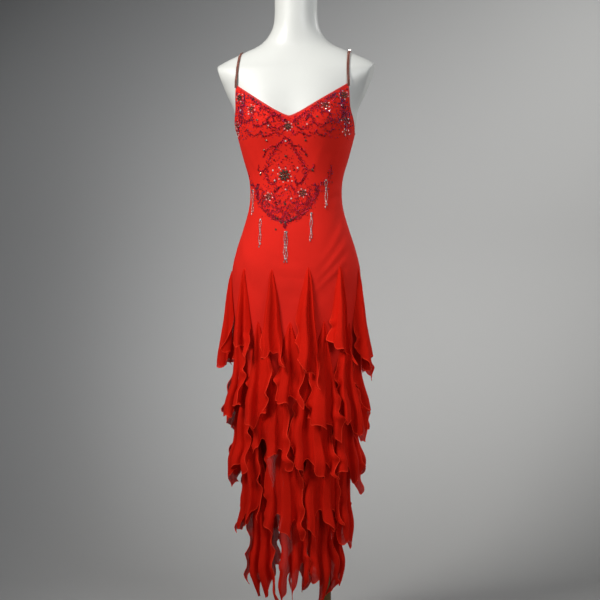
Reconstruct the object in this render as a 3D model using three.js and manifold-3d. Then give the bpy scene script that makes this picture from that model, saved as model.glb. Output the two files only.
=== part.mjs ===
// A red evening gown of stretch mesh and chiffon, worn by a limbless dress form on a stand.
// Millimetres, +Z up. The gown faces -Y, and the wearer's left side is +X.
// The origin is on the floor, under the middle of the stand's base.

import * as THREE from "three";
import { mergeVertices } from "three/addons/utils/BufferGeometryUtils.js";
import Module from "manifold-3d";

// Driving dimensions of the cloth
const CLOTH = 1.2; // wall of a cloth piece
const EASE = 2.2; // from the form's surface to the inside of the gown
const SEAM = 0.3; // gap between two pieces that are sewn together
const PANEL_OUT = EASE + CLOTH; // from the form's surface to the outside of the gown

// Driving dimensions of the body
const FORM_FOOT_Z = 760; // flat underside of the torso, inside the skirt
const NECK_TOP_Z = 1588; // flat top of the neck
const PANEL_HEM_Z = 520; // lower edge of the front and back panels, under the flounces
const HUNG_Z = PANEL_HEM_Z - SEAM; // top of the flounces that hang from that edge
const SIDE_TOP_Z = 1238; // top edge at the side seam, below the arm
const STRAP_Z = 1352; // top edge where a strap is sewn to the front
const STRAP_AT = 45; // degrees round the body where that point is
const V_Z = 1271; // lowest point of the V neckline
const BACK_STRAP_Z = 1252; // top edge where a strap is sewn to the back
const BACK_STRAP_AT = 142; // degrees round the body where that point is
const BACK_LOW_Z = 1170; // lowest point of the back neckline

// Bust of the form: two soft rises of the front
const BUST = { rise: 31, formRise: 28.5, x: 74, z: 1264, across: 50, upright: 54 };

// Flat plates that close the torso where arms would be: a slanted plane on each side
const ARM_PLATE = { x: 156, z: 1300, slope: 0.34 };

// Strap: a flat beaded ribbon over the shoulder
const STRAP = { width: 7.5, thick: 1.8, lap: 6, clear: 0.6, overShoulderX: 132, crestZ: 1438 };

// Stand: a steel disc with one rod that enters the torso off its middle
const ROD = { radius: 11, x: 74, y: 12, socket: 70, play: 0.3 };
const BASE = { radius: 178, thick: 9, bevel: 3 };

// Sections of the body from below the knee to the neck: half width, depth to the front,
// depth to the back, and how square the section is (2 is an ellipse). Below FORM_FOOT_Z
// they carry the skirt only.
const SECTIONS = [
  { z: 40, half: 74, front: 58, back: 62, power: 2 },
  { z: 150, half: 84, front: 66, back: 70, power: 2 },
  { z: 300, half: 99, front: 75, back: 80, power: 2 },
  { z: 420, half: 113, front: 82, back: 90, power: 2 },
  { z: 520, half: 123, front: 87, back: 97, power: 2 },
  { z: 640, half: 134, front: 91, back: 103, power: 2 },
  { z: 760, half: 147, front: 95, back: 110, power: 2 },
  { z: 840, half: 154, front: 98, back: 115, power: 2 },
  { z: 905, half: 154, front: 99, back: 117, power: 2.05 },
  { z: 955, half: 143, front: 96, back: 111, power: 2.05 },
  { z: 1004, half: 127, front: 91, back: 98, power: 2.05 },
  { z: 1053, half: 113, front: 86, back: 85, power: 2.05 },
  { z: 1090, half: 109, front: 84, back: 81, power: 2.05 },
  { z: 1130, half: 112, front: 85, back: 84, power: 2.1 },
  { z: 1176, half: 125, front: 88, back: 91, power: 2.15 },
  { z: 1225, half: 138, front: 91, back: 96, power: 2.25 },
  { z: 1262, half: 147, front: 92, back: 98, power: 2.3 },
  { z: 1300, half: 153, front: 90, back: 97, power: 2.35 },
  { z: 1350, half: 180, front: 83, back: 94, power: 2.35 },
  { z: 1392, half: 212, front: 72, back: 86, power: 2.3 },
  { z: 1412, half: 186, front: 64, back: 78, power: 2.2 },
  { z: 1436, half: 136, front: 56, back: 69, power: 2.1 },
  { z: 1456, half: 92, front: 51, back: 62, power: 2 },
  { z: 1480, half: 67, front: 49, back: 56, power: 2 },
  { z: 1512, half: 54, front: 49, back: 53, power: 2 },
  { z: 1588, half: 52, front: 50, back: 52, power: 2 },
];

// Godets and flounces hang in five tiers, each outside the next. A row gives how far the
// middle of a tier stands off the panels and how deep its flutes are at a height. The last
// tier hangs from the panels' hem and falls a little inward of it.
const TIER_DRAPE = [
  [
    { z: 915, off: 1, flute: 0 },
    { z: 880, off: 5, flute: 2.5 },
    { z: 850, off: 8, flute: 5 },
    { z: 790, off: 15, flute: 9 },
    { z: 735, off: 26, flute: 12 },
    { z: 686, off: 36, flute: 14 },
    { z: 610, off: 44, flute: 15 },
  ],
  [
    { z: 785, off: 0.9, flute: 0 },
    { z: 735, off: 6, flute: 3.5 },
    { z: 686, off: 11, flute: 6 },
    { z: 640, off: 18, flute: 8 },
    { z: 588, off: 32, flute: 13 },
    { z: 539, off: 43, flute: 14 },
    { z: 470, off: 46, flute: 14 },
  ],
  [
    { z: 695, off: 0.9, flute: 0 },
    { z: 640, off: 4, flute: 1.5 },
    { z: 588, off: 9, flute: 4 },
    { z: 539, off: 18, flute: 7 },
    { z: 490, off: 23, flute: 8 },
    { z: 441, off: 37, flute: 13 },
    { z: 340, off: 42, flute: 12 },
  ],
  [
    { z: 610, off: 0.9, flute: 0 },
    { z: 539, off: 5, flute: 1 },
    { z: 490, off: 8, flute: 3 },
    { z: 441, off: 14, flute: 6 },
    { z: 392, off: 15, flute: 6 },
    { z: 340, off: 20, flute: 8 },
    { z: 290, off: 30, flute: 12 },
    { z: 230, off: 32, flute: 12 },
  ],
  [
    { z: 520, off: -0.6, flute: 0 },
    { z: 480, off: -1, flute: 3 },
    { z: 441, off: -3, flute: 6 },
    { z: 392, off: -3, flute: 7 },
    { z: 340, off: 1, flute: 7 },
    { z: 290, off: 6, flute: 8 },
    { z: 240, off: 9, flute: 9 },
    { z: 190, off: 21, flute: 12 },
    { z: 150, off: 18, flute: 11 },
    { z: 110, off: 8, flute: 8 },
    { z: 60, off: 2, flute: 6 },
  ],
];

// Each piece of a tier: at is its seam round the body in degrees, top its point, then the
// heights of its hem at its left edge, middle and right edge, how far its outer flutes hang
// below its inner ones, its half spread in degrees at the hem, and its number of flutes, a
// whole number and a half, so that its left edge tucks under and its right edge stands out.
const TIER_PIECES = [
  [
    { at: -16, top: 906, left: 706, middle: 716, right: 690, tip: 14, spread: 11, flutes: 1.5 },
    { at: 16, top: 911, left: 730, middle: 672, right: 630, tip: 12, spread: 13, flutes: 1.5 },
    { at: 48, top: 920, left: 738, middle: 728, right: 694, tip: 14, spread: 12, flutes: 1.5 },
    { at: 80, top: 912, left: 720, middle: 680, right: 652, tip: 16, spread: 13, flutes: 1.5 },
    { at: 112.5, top: 912, left: 712, middle: 700, right: 664, tip: 14, spread: 12, flutes: 1.5 },
    { at: 146, top: 908, left: 730, middle: 676, right: 640, tip: 12, spread: 13, flutes: 1.5 },
    { at: 180, top: 914, left: 708, middle: 702, right: 672, tip: 16, spread: 13, flutes: 1.5 },
    { at: -146, top: 908, left: 696, middle: 714, right: 660, tip: 12, spread: 13, flutes: 1.5 },
    { at: -112.5, top: 912, left: 676, middle: 706, right: 690, tip: 16, spread: 12, flutes: 1.5 },
    { at: -80, top: 904, left: 676, middle: 690, right: 724, tip: 14, spread: 13, flutes: 1.5 },
    { at: -48, top: 908, left: 738, middle: 736, right: 706, tip: 12, spread: 12, flutes: 1.5 },
  ],
  [
    { at: 0, top: 780, left: 596, middle: 606, right: 592, tip: 16, spread: 14, flutes: 1.5 },
    { at: 32, top: 782, left: 552, middle: 556, right: 512, tip: 22, spread: 15, flutes: 1.5 },
    { at: 64, top: 778, left: 576, middle: 540, right: 516, tip: 24, spread: 16, flutes: 2.5 },
    { at: 96, top: 776, left: 600, middle: 580, right: 530, tip: 24, spread: 16, flutes: 1.5 },
    { at: 128, top: 780, left: 572, middle: 552, right: 512, tip: 20, spread: 15, flutes: 1.5 },
    { at: 162, top: 782, left: 590, middle: 560, right: 526, tip: 22, spread: 16, flutes: 2.5 },
    { at: -162, top: 780, left: 556, middle: 576, right: 540, tip: 20, spread: 16, flutes: 1.5 },
    { at: -128, top: 778, left: 528, middle: 570, right: 532, tip: 24, spread: 16, flutes: 2.5 },
    { at: -96, top: 776, left: 520, middle: 560, right: 576, tip: 20, spread: 16, flutes: 1.5 },
    { at: -64, top: 780, left: 560, middle: 572, right: 600, tip: 18, spread: 15, flutes: 1.5 },
    { at: -32, top: 782, left: 572, middle: 548, right: 590, tip: 20, spread: 15, flutes: 1.5 },
  ],
  [
    { at: -22, top: 690, left: 500, middle: 500, right: 456, tip: 34, spread: 23, flutes: 2.5 },
    { at: 23, top: 692, left: 470, middle: 448, right: 440, tip: 38, spread: 23, flutes: 2.5 },
    { at: 68, top: 688, left: 470, middle: 440, right: 400, tip: 44, spread: 23, flutes: 2.5 },
    { at: 113, top: 690, left: 460, middle: 428, right: 400, tip: 40, spread: 23, flutes: 2.5 },
    { at: 158, top: 690, left: 476, middle: 440, right: 408, tip: 36, spread: 23, flutes: 2.5 },
    { at: -157, top: 692, left: 446, middle: 458, right: 420, tip: 36, spread: 23, flutes: 1.5 },
    { at: -112, top: 688, left: 416, middle: 430, right: 456, tip: 40, spread: 23, flutes: 2.5 },
    { at: -67, top: 690, left: 394, middle: 458, right: 450, tip: 36, spread: 23, flutes: 2.5 },
  ],
  [
    { at: -60, top: 602, left: 306, middle: 330, right: 344, tip: 50, spread: 26, flutes: 2.5 },
    { at: -10, top: 606, left: 330, middle: 322, right: 300, tip: 54, spread: 25, flutes: 2.5 },
    { at: 38, top: 600, left: 310, middle: 336, right: 330, tip: 60, spread: 25, flutes: 2.5 },
    { at: 86, top: 604, left: 300, middle: 276, right: 290, tip: 56, spread: 25, flutes: 2.5 },
    { at: 136, top: 600, left: 320, middle: 300, right: 286, tip: 50, spread: 26, flutes: 2.5 },
    { at: -172, top: 604, left: 306, middle: 330, right: 296, tip: 54, spread: 27, flutes: 2.5 },
    { at: -114, top: 602, left: 290, middle: 320, right: 306, tip: 52, spread: 29, flutes: 2.5 },
  ],
  [
    { at: -44, top: HUNG_Z, left: 168, middle: 176, right: 150, tip: 70, spread: 24, flutes: 2.5 },
    { at: 2, top: HUNG_Z, left: 170, middle: 186, right: 220, tip: 80, spread: 20, flutes: 2.5 },
    { at: 44, top: HUNG_Z, left: 240, middle: 164, right: 186, tip: 74, spread: 22, flutes: 2.5 },
    { at: 98, top: HUNG_Z, left: 210, middle: 196, right: 180, tip: 70, spread: 30, flutes: 2.5 },
    { at: 164, top: HUNG_Z, left: 190, middle: 164, right: 150, tip: 66, spread: 35, flutes: 2.5 },
    { at: -112, top: HUNG_Z, left: 176, middle: 200, right: 190, tip: 72, spread: 36, flutes: 2.5 },
  ],
];
const GODET_TOP_SPREAD = 1.6; // half spread of a piece at its point, in degrees
const SEAT_SHARE = 0.7; // how much of a facet's dip a piece's point follows
const FLUTE_FOLD = 0.7; // how steeply a flute's sides stand at the hem; at 1 they are upright
const COLUMNS_PER_FLUTE = 5;
const GODET_ROWS = 4;

// Tassels of strung beads, which hang straight down the front: distance to the side, top and
// bottom, and number of strands
const TASSELS = [
  { name: "tassel_middle", x: -11, top: 998, bottom: 920, strands: 3 },
  { name: "tassel_right_inner", x: -76, top: 1029, bottom: 958, strands: 2 },
  { name: "tassel_left_inner", x: 49, top: 1043, bottom: 968, strands: 2 },
  { name: "tassel_right_outer", x: -99, top: 1102, bottom: 1038, strands: 2 },
  { name: "tassel_left_outer", x: 82, top: 1123, bottom: 1051, strands: 2 },
];
const STRAND = { thick: 1.6, apart: 3.4, head: 6, lip: 0.3, uneven: 7, steps: 4, clear: 1.1 };

// Gem flowers: degrees round the body, height of the middle, outer radius, petals
const GEM_FLOWERS = [
  { name: "gem_flower_middle", at: -7, z: 1132, radius: 15, petals: 8 },
  { name: "gem_flower_right_strap", at: -47, z: 1321, radius: 9, petals: 6 },
  { name: "gem_flower_left_strap", at: 47, z: 1323, radius: 9, petals: 6 },
  { name: "gem_flower_right_low", at: -29, z: 1082, radius: 9, petals: 6 },
  { name: "gem_flower_left_low", at: 14, z: 1089, radius: 9, petals: 6 },
];
const GEM_HEIGHT = 4;

// Grid sizes of the panels and the form
const FRONT_GRID = { columns: 20, rows: 24 };
const BACK_GRID = { columns: 16, rows: 22 };
const FORM_COLUMNS = 32;
const FORM_ROWS = [
  760, 800, 850, 905, 955, 1004, 1053, 1090, 1130, 1176, 1215, 1240, 1264, 1288, 1318,
  1350, 1378, 1398, 1414, 1430, 1445, 1460, 1480, 1512, 1588,
];

const RED = { color: 0xc2190f, roughness: 0.62, metalness: 0 };
const BRONZE = { color: 0x4a3038, roughness: 0.25, metalness: 0.6 };
const BEADS = { color: 0x8f5a49, roughness: 0.3, metalness: 0.3 };
const WHITE = { color: 0xe6e6de, roughness: 0.5, metalness: 0 };
const GOLD = { color: 0x6d4b12, roughness: 0.35, metalness: 0.8 };
const STEEL = { color: 0x8a8a88, roughness: 0.4, metalness: 0.8 };

const radians = THREE.MathUtils.degToRad;
const signedPower = (value, power) => Math.sign(value) * Math.abs(value) ** power;
const clamp = THREE.MathUtils.clamp;
const smoothstep = THREE.MathUtils.smoothstep;

// Smooth values of a table's columns at a height, through its rows.
function smoothRow(table, z) {
  const last = table.length - 1;
  const height = clamp(z, Math.min(table[0].z, table[last].z), Math.max(table[0].z, table[last].z));
  let i = 0;
  while (i < last - 1 && (height - table[i + 1].z) * (height - table[i].z) > 0) i += 1;
  const [low, high] = [table[i], table[i + 1]];
  const span = high.z - low.z;
  const t = (height - low.z) / span;
  const slope = (key, k) => {
    const before = table[Math.max(k - 1, 0)];
    const after = table[Math.min(k + 1, last)];
    return (after[key] - before[key]) / (after.z - before.z);
  };
  const row = { z };
  for (const key of Object.keys(low).filter((name) => name !== "z")) {
    const rise = 3 * t * t - 2 * t * t * t;
    const start = (t * t * t - 2 * t * t + t) * span * slope(key, i);
    const end = (t * t * t - t * t) * span * slope(key, i + 1);
    row[key] = low[key] + (high[key] - low[key]) * rise + start + end;
  }
  return row;
}

function bustRise(x, z, toFront, rise) {
  const upright = Math.exp(-0.5 * ((z - BUST.z) / BUST.upright) ** 2);
  const right = Math.exp(-0.5 * ((x + BUST.x) / BUST.across) ** 2);
  const left = Math.exp(-0.5 * ((x - BUST.x) / BUST.across) ** 2);
  return rise * upright * (right + left) * smoothstep(toFront, 0, 0.6);
}

// A point that lies out millimetres outside the form's surface, at an angle round the body
// (0 is the middle of the front, 90 degrees the wearer's left side) and a height.
function bodyPoint(angle, z, out, rise = BUST.rise) {
  const section = smoothRow(SECTIONS, z);
  const depth = Math.cos(angle) > 0 ? section.front : section.back;
  const x = section.half * signedPower(Math.sin(angle), 2 / section.power);
  const y = -depth * signedPower(Math.cos(angle), 2 / section.power);
  const normalX = signedPower(x / section.half, section.power - 1) / section.half;
  const normalY = signedPower(y / depth, section.power - 1) / depth;
  const length = Math.hypot(normalX, normalY);
  const plate = ARM_PLATE.x + Math.max(z - ARM_PLATE.z, 0) * ARM_PLATE.slope;
  const wide = x + (out * normalX) / length;
  return new THREE.Vector3(
    z > ARM_PLATE.z ? clamp(wide, -plate - out, plate + out) : wide,
    y + (out * normalY) / length - bustRise(x, z, Math.cos(angle), rise),
    z,
  );
}

function geometryFrom(points, triangles) {
  const geometry = new THREE.BufferGeometry();
  const numbers = points.flatMap((point) => point.toArray());
  geometry.setAttribute("position", new THREE.Float32BufferAttribute(numbers, 3));
  let volume = 0;
  for (const [a, b, c] of triangles) {
    volume += points[a].dot(new THREE.Vector3().crossVectors(points[b], points[c]));
  }
  const outward = volume > 0 ? triangles : triangles.map(([a, b, c]) => [a, c, b]);
  geometry.setIndex(outward.flat());
  geometry.computeVertexNormals();
  return geometry;
}

// A closed wall between two faces, each a grid of columns by rows of cells. face(u, v, side)
// gives a point for u and v from 0 to 1 and side 0 (inner) or 1 (outer).
function wall(columns, rows, face) {
  const points = [];
  for (const side of [0, 1]) {
    for (let j = 0; j <= rows; j += 1) {
      for (let i = 0; i <= columns; i += 1) points.push(face(i / columns, j / rows, side));
    }
  }
  const layer = (columns + 1) * (rows + 1);
  const at = (i, j, side) => side * layer + j * (columns + 1) + i;
  const triangles = [];
  for (let j = 0; j < rows; j += 1) {
    for (let i = 0; i < columns; i += 1) {
      const [a, b, c, d] = [at(i, j, 1), at(i + 1, j, 1), at(i + 1, j + 1, 1), at(i, j + 1, 1)];
      triangles.push([a, b, c], [a, c, d]);
      triangles.push([a - layer, c - layer, b - layer], [a - layer, d - layer, c - layer]);
    }
  }
  const rim = (a, b) => triangles.push([a, a - layer, b - layer], [a, b - layer, b]);
  for (let i = 0; i < columns; i += 1) {
    rim(at(i, 0, 1), at(i + 1, 0, 1));
    rim(at(i + 1, rows, 1), at(i, rows, 1));
  }
  for (let j = 0; j < rows; j += 1) {
    rim(at(0, j + 1, 1), at(0, j, 1));
    rim(at(columns, j, 1), at(columns, j + 1, 1));
  }
  return geometryFrom(points, triangles);
}

// A wall of one thickness on both sides of a curved sheet
function thickSheet(columns, rows, thick, sheet) {
  const step = 1e-3;
  return wall(columns, rows, (u, v, side) => {
    const point = sheet(u, v);
    const alongU = sheet(Math.min(u + step, 1), v).sub(sheet(Math.max(u - step, 0), v));
    const alongV = sheet(u, Math.min(v + step, 1)).sub(sheet(u, Math.max(v - step, 0)));
    const normal = alongU.cross(alongV).normalize();
    return point.addScaledVector(normal, (side - 0.5) * thick);
  });
}

// Height of the gown's top edge, round the front and round the back
function frontTop(angle) {
  const degrees = Math.abs(THREE.MathUtils.radToDeg(angle));
  if (degrees <= STRAP_AT) return V_Z + (STRAP_Z - V_Z) * (degrees / STRAP_AT) ** 1.15;
  const t = (degrees - STRAP_AT) / (90 - STRAP_AT);
  return SIDE_TOP_Z + (STRAP_Z - SIDE_TOP_Z) * (1 - t) ** 1.35;
}

function backTop(angle) {
  const degrees = Math.abs(THREE.MathUtils.radToDeg(angle));
  if (degrees <= BACK_STRAP_AT) {
    const t = (degrees - 90) / (BACK_STRAP_AT - 90);
    return SIDE_TOP_Z + (BACK_STRAP_Z - SIDE_TOP_Z) * t;
  }
  const t = (degrees - BACK_STRAP_AT) / (180 - BACK_STRAP_AT);
  return BACK_STRAP_Z + (BACK_LOW_Z - BACK_STRAP_Z) * smoothstep(t, 0, 1);
}

// A panel's rows are closer together above the waist, where the body curves more.
const ROW_BIAS = 0.32;
const panelHeight = (v, top) =>
  PANEL_HEM_Z + (top - PANEL_HEM_Z) * ((1 + ROW_BIAS) * v - ROW_BIAS * v * v);
const panelShare = (z, top) => {
  const rise = clamp((z - PANEL_HEM_Z) / (top - PANEL_HEM_Z), 0, 1);
  const both = 1 + ROW_BIAS;
  return (both - Math.sqrt(both * both - 4 * ROW_BIAS * rise)) / (2 * ROW_BIAS);
};

// Half the gap at a side seam as a turn round the body, from the least depth there
const SEAM_TURN = THREE.MathUtils.radToDeg(SEAM / 2 / 81);
const FRONT_EDGE = 90 - SEAM_TURN;
const BACK_EDGE = 90 + SEAM_TURN;

// The front's columns, with one just at each strap: this share of each half lies between
// the middle and the strap.
const STRAP_SHARE = 0.6;

function frontAngle(u) {
  const across = 2 * u - 1;
  const share = Math.abs(across);
  const beyond = (share - STRAP_SHARE) / (1 - STRAP_SHARE);
  const degrees = share < STRAP_SHARE
    ? (share / STRAP_SHARE) * STRAP_AT
    : STRAP_AT + beyond * (FRONT_EDGE - STRAP_AT);
  return radians(Math.sign(across) * degrees);
}

function frontShare(degrees) {
  const turn = Math.abs(degrees);
  const share = turn < STRAP_AT
    ? (turn / STRAP_AT) * STRAP_SHARE
    : STRAP_SHARE + ((turn - STRAP_AT) / (FRONT_EDGE - STRAP_AT)) * (1 - STRAP_SHARE);
  return (Math.sign(degrees) * share + 1) / 2;
}

const backAngle = (u) => radians(BACK_EDGE + u * (360 - 2 * BACK_EDGE));

const frontFace = (u, v, side) => {
  const angle = frontAngle(u);
  return bodyPoint(angle, panelHeight(v, frontTop(angle)), EASE + side * CLOTH);
};

const backFace = (u, v, side) => {
  const angle = backAngle(u);
  const round = angle > Math.PI ? angle - 2 * Math.PI : angle;
  return bodyPoint(angle, panelHeight(v, backTop(round)), EASE + side * CLOTH);
};

// Both panels, with the share of their width at a turn round the body
const FRONT = { ...FRONT_GRID, face: frontFace, top: frontTop, share: frontShare };
const BACK = {
  ...BACK_GRID,
  face: backFace,
  top: backTop,
  share: (degrees) => ((degrees + 360) % 360 - BACK_EDGE) / (360 - 2 * BACK_EDGE),
};

// A point out millimetres above a flat facet of a panel's outer face
function onPanel(panel, degrees, z, out) {
  const { columns, rows, face } = panel;
  const column = clamp(panel.share(degrees) * columns, 0, columns - 1e-6);
  const row = Math.min(panelShare(z, panel.top(radians(degrees))) * rows, rows - 1e-6);
  const [i, j] = [Math.floor(column), Math.floor(row)];
  const corner = (di, dj) => face((i + di) / columns, (j + dj) / rows, 1);
  const low = corner(0, 0).lerp(corner(1, 0), column - i);
  const high = corner(0, 1).lerp(corner(1, 1), column - i);
  const sideways = corner(1, 0).sub(corner(0, 0));
  const upward = corner(0, 1).sub(corner(0, 0));
  const normal = sideways.cross(upward).normalize();
  return low.lerp(high, row - j).addScaledVector(normal, out);
}

// The torso: stacked sections with a flat foot and a flat top, and a socket for the rod
function torsoGeometry(wasm) {
  const points = [];
  for (const z of FORM_ROWS) {
    const out = z === FORM_FOOT_Z ? -9 : 0;
    for (let i = 0; i < FORM_COLUMNS; i += 1) {
      points.push(bodyPoint((i / FORM_COLUMNS) * 2 * Math.PI, z, out, BUST.formRise));
    }
  }
  const triangles = [];
  for (let j = 0; j < FORM_ROWS.length - 1; j += 1) {
    for (let i = 0; i < FORM_COLUMNS; i += 1) {
      const next = (i + 1) % FORM_COLUMNS;
      const [a, b] = [j * FORM_COLUMNS + i, j * FORM_COLUMNS + next];
      triangles.push([a, b, b + FORM_COLUMNS], [a, b + FORM_COLUMNS, a + FORM_COLUMNS]);
    }
  }
  const foot = points.push(new THREE.Vector3(0, 0, FORM_FOOT_Z)) - 1;
  const top = points.push(new THREE.Vector3(0, 0, NECK_TOP_Z)) - 1;
  const topRow = (FORM_ROWS.length - 1) * FORM_COLUMNS;
  for (let i = 0; i < FORM_COLUMNS; i += 1) {
    const next = (i + 1) % FORM_COLUMNS;
    triangles.push([foot, next, i], [top, topRow + i, topRow + next]);
  }
  const socket = new THREE.CylinderGeometry(
    ROD.radius + ROD.play, ROD.radius + ROD.play, 2 * ROD.socket, 24,
  );
  socket.rotateX(Math.PI / 2);
  socket.translate(ROD.x, ROD.y, FORM_FOOT_Z);
  return fromSolid(solid(wasm, geometryFrom(points, triangles)).subtract(solid(wasm, socket)));
}

function solid(wasm, geometry) {
  const bare = geometry.clone();
  bare.deleteAttribute("normal");
  bare.deleteAttribute("uv");
  const merged = mergeVertices(bare, 1e-4);
  return new wasm.Manifold(new wasm.Mesh({
    numProp: 3,
    vertProperties: new Float32Array(merged.attributes.position.array),
    triVerts: new Uint32Array(merged.index.array),
  }));
}

function fromSolid(body) {
  const mesh = body.getMesh();
  const result = new THREE.BufferGeometry();
  result.setAttribute("position", new THREE.BufferAttribute(mesh.vertProperties, 3));
  result.setIndex(new THREE.BufferAttribute(mesh.triVerts, 1));
  result.computeVertexNormals();
  return result;
}

// Stand: the rod from the base into the socket, and the disc that stands on the floor
function rodGeometry() {
  const low = BASE.thick + SEAM;
  const high = FORM_FOOT_Z + ROD.socket - SEAM;
  const rod = new THREE.CylinderGeometry(ROD.radius, ROD.radius, high - low, 24);
  rod.rotateX(Math.PI / 2);
  rod.translate(ROD.x, ROD.y, (low + high) / 2);
  return rod;
}

function baseGeometry() {
  const profile = [
    new THREE.Vector2(0, 0),
    new THREE.Vector2(BASE.radius, 0),
    new THREE.Vector2(BASE.radius, BASE.thick - BASE.bevel),
    new THREE.Vector2(BASE.radius - BASE.bevel, BASE.thick),
    new THREE.Vector2(0, BASE.thick),
  ];
  const base = new THREE.LatheGeometry(profile, 40);
  base.rotateX(Math.PI / 2);
  return base;
}

// The turn round the body at which it reaches a distance x to the side, at a height
function turnAtX(x, z, out) {
  const section = smoothRow(SECTIONS, z);
  const share = Math.min(Math.abs(x) / (section.half + out), 1);
  return Math.sign(x) * Math.asin(share ** (section.power / 2));
}

// Degrees round the body for each millimetre along the panels
function degreesPerMm(degrees, z) {
  const step = 0.5;
  const before = bodyPoint(radians(degrees - step), z, PANEL_OUT);
  const after = bodyPoint(radians(degrees + step), z, PANEL_OUT);
  return (2 * step) / before.distanceTo(after);
}

// A point on the form and the direction straight out of its surface there
function bodyStation(angle, z) {
  const round = bodyPoint(angle + 0.01, z, 0).sub(bodyPoint(angle - 0.01, z, 0));
  const upward = bodyPoint(angle, z + 0.5, 0).sub(bodyPoint(angle, z - 0.5, 0));
  return { point: bodyPoint(angle, z, 0), outward: round.cross(upward).normalize() };
}

// Where a strap runs: up the front, over the shoulder and down the back
function strapStations(side) {
  const frontX = bodyPoint(radians(STRAP_AT), STRAP_Z, 0).x;
  const backX = bodyPoint(radians(BACK_STRAP_AT), BACK_STRAP_Z, 0).x;
  const halves = [
    { low: STRAP_Z - STRAP.lap, startX: frontX, steps: 10, toAngle: (turn) => turn },
    { low: BACK_STRAP_Z - STRAP.lap, startX: backX, steps: 13, toAngle: (turn) => Math.PI - turn },
  ];
  const [front, back] = halves.map(({ low, startX, steps, toAngle }) => {
    const stations = [];
    for (let k = 0; k <= steps; k += 1) {
      const share = k / (steps + 0.5);
      const z = low + (STRAP.crestZ - low) * (1 - (1 - share) ** 2);
      const x = startX + (STRAP.overShoulderX - startX) * smoothstep(share, 0, 1);
      const station = bodyStation(side * toAngle(turnAtX(x, z, 0)), z);
      const onPanel = 1 - smoothstep(share, 0.08, 0.22);
      const out = STRAP.clear + STRAP.thick / 2 + (PANEL_OUT + SEAM - STRAP.clear) * onPanel;
      stations.push({ ...station, point: station.point.addScaledVector(station.outward, out) });
    }
    return stations;
  });
  return [...front, ...back.reverse()];
}

function strapGeometry(side) {
  const stations = strapStations(side);
  const last = stations.length - 1;
  return wall(1, last, (u, v, face) => {
    const k = Math.round(v * last);
    const { point, outward } = stations[k];
    const along = stations[Math.min(k + 1, last)].point.clone();
    along.sub(stations[Math.max(k - 1, 0)].point);
    const across = along.cross(outward).normalize();
    const corner = point.clone().addScaledVector(across, (u - 0.5) * STRAP.width);
    return corner.addScaledVector(outward, (face - 0.5) * STRAP.thick);
  });
}

// A godet or flounce: a fan from its point to a hem of three heights, in soft flutes
function flounceSheet(tier, piece) {
  const turns = Math.PI * piece.flutes;
  const panel = Math.abs(piece.at) < 90 ? FRONT : BACK;
  const seat = onPanel(panel, piece.at, piece.top, 0);
  const dip = bodyPoint(radians(piece.at), piece.top, PANEL_OUT).distanceTo(seat);
  return (u, v) => {
    const across = 2 * u - 1;
    const phase = turns * (1 - across);
    const edge = across < 0 ? piece.left : piece.right;
    const hem = piece.middle + (edge - piece.middle) * Math.abs(across);
    const z = piece.top + (hem - (piece.tip * (1 + Math.cos(phase))) / 2 - piece.top) * v;
    const drape = smoothRow(TIER_DRAPE[tier], z);
    const fold = (FLUTE_FOLD * smoothstep(v, 0, 1) * Math.sin(2 * phase)) / (2 * turns);
    const spread = GODET_TOP_SPREAD + (piece.spread - GODET_TOP_SPREAD) * v ** 0.75;
    const degrees = piece.at + spread * (across - fold);
    const off = drape.off + drape.flute * Math.cos(phase);
    const seated = piece.top > HUNG_Z ? SEAT_SHARE * dip * (1 - smoothstep(v, 0, 0.25)) : 0;
    return bodyPoint(radians(degrees), z, PANEL_OUT + off - seated);
  };
}

// A tassel: strung strands, each four-sided, whose roots are fused into one flat head. It
// lies along the front.
function tasselGeometry(wasm, tassel) {
  const length = tassel.top - tassel.bottom;
  const bar = (left, right, end, steps, low, high) => solid(wasm, wall(1, steps, (u, v, side) => {
    const z = tassel.top - end * v;
    const middle = THREE.MathUtils.radToDeg(turnAtX(tassel.x, z, PANEL_OUT));
    const degrees = middle + (left + (right - left) * u) * degreesPerMm(middle, z);
    return onPanel(FRONT, degrees, z, side === 0 ? low : high);
  }));
  const halfWidth = ((tassel.strands - 1) * STRAND.apart + STRAND.thick) / 2;
  const { clear, thick, lip } = STRAND;
  let tied = bar(-halfWidth - lip, halfWidth + lip, STRAND.head, 1, clear - lip, clear + thick + lip);
  for (let k = 0; k < tassel.strands; k += 1) {
    const left = -halfWidth + k * STRAND.apart;
    const end = length - (k % 2) * STRAND.uneven;
    const strand = bar(left, left + thick, end, STRAND.steps, clear, clear + thick);
    tied = tied.add(strand);
  }
  return fromSolid(tied);
}

// A gem flower: a low dome with petals, whose base follows the panel
function flowerGeometry(flower) {
  const perMm = degreesPerMm(flower.at, flower.z);
  const around = flower.petals * 2;
  const place = (ring, i, out) => {
    const turn = (i / around) * 2 * Math.PI;
    const petal = i % 2 === 0 ? 1 : 0.72;
    const reach = flower.radius * ring * petal;
    const degrees = flower.at + Math.cos(turn) * reach * perMm;
    return onPanel(FRONT, degrees, flower.z + Math.sin(turn) * reach, out);
  };
  const points = [];
  const low = SEAM + 0.2;
  for (let i = 0; i < around; i += 1) points.push(place(1, i, low));
  for (let i = 0; i < around; i += 1) points.push(place(0.8, i, low + GEM_HEIGHT * 0.75));
  points.push(place(0, 0, low), place(0, 0, low + GEM_HEIGHT));
  const [under, over] = [2 * around, 2 * around + 1];
  const triangles = [];
  for (let i = 0; i < around; i += 1) {
    const next = (i + 1) % around;
    triangles.push([i, next, around + next], [i, around + next, around + i]);
    triangles.push([around + i, around + next, over], [next, i, under]);
  }
  return geometryFrom(points, triangles);
}

const wasm = await Module();
wasm.setup();

const gown = new THREE.Group();

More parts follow.
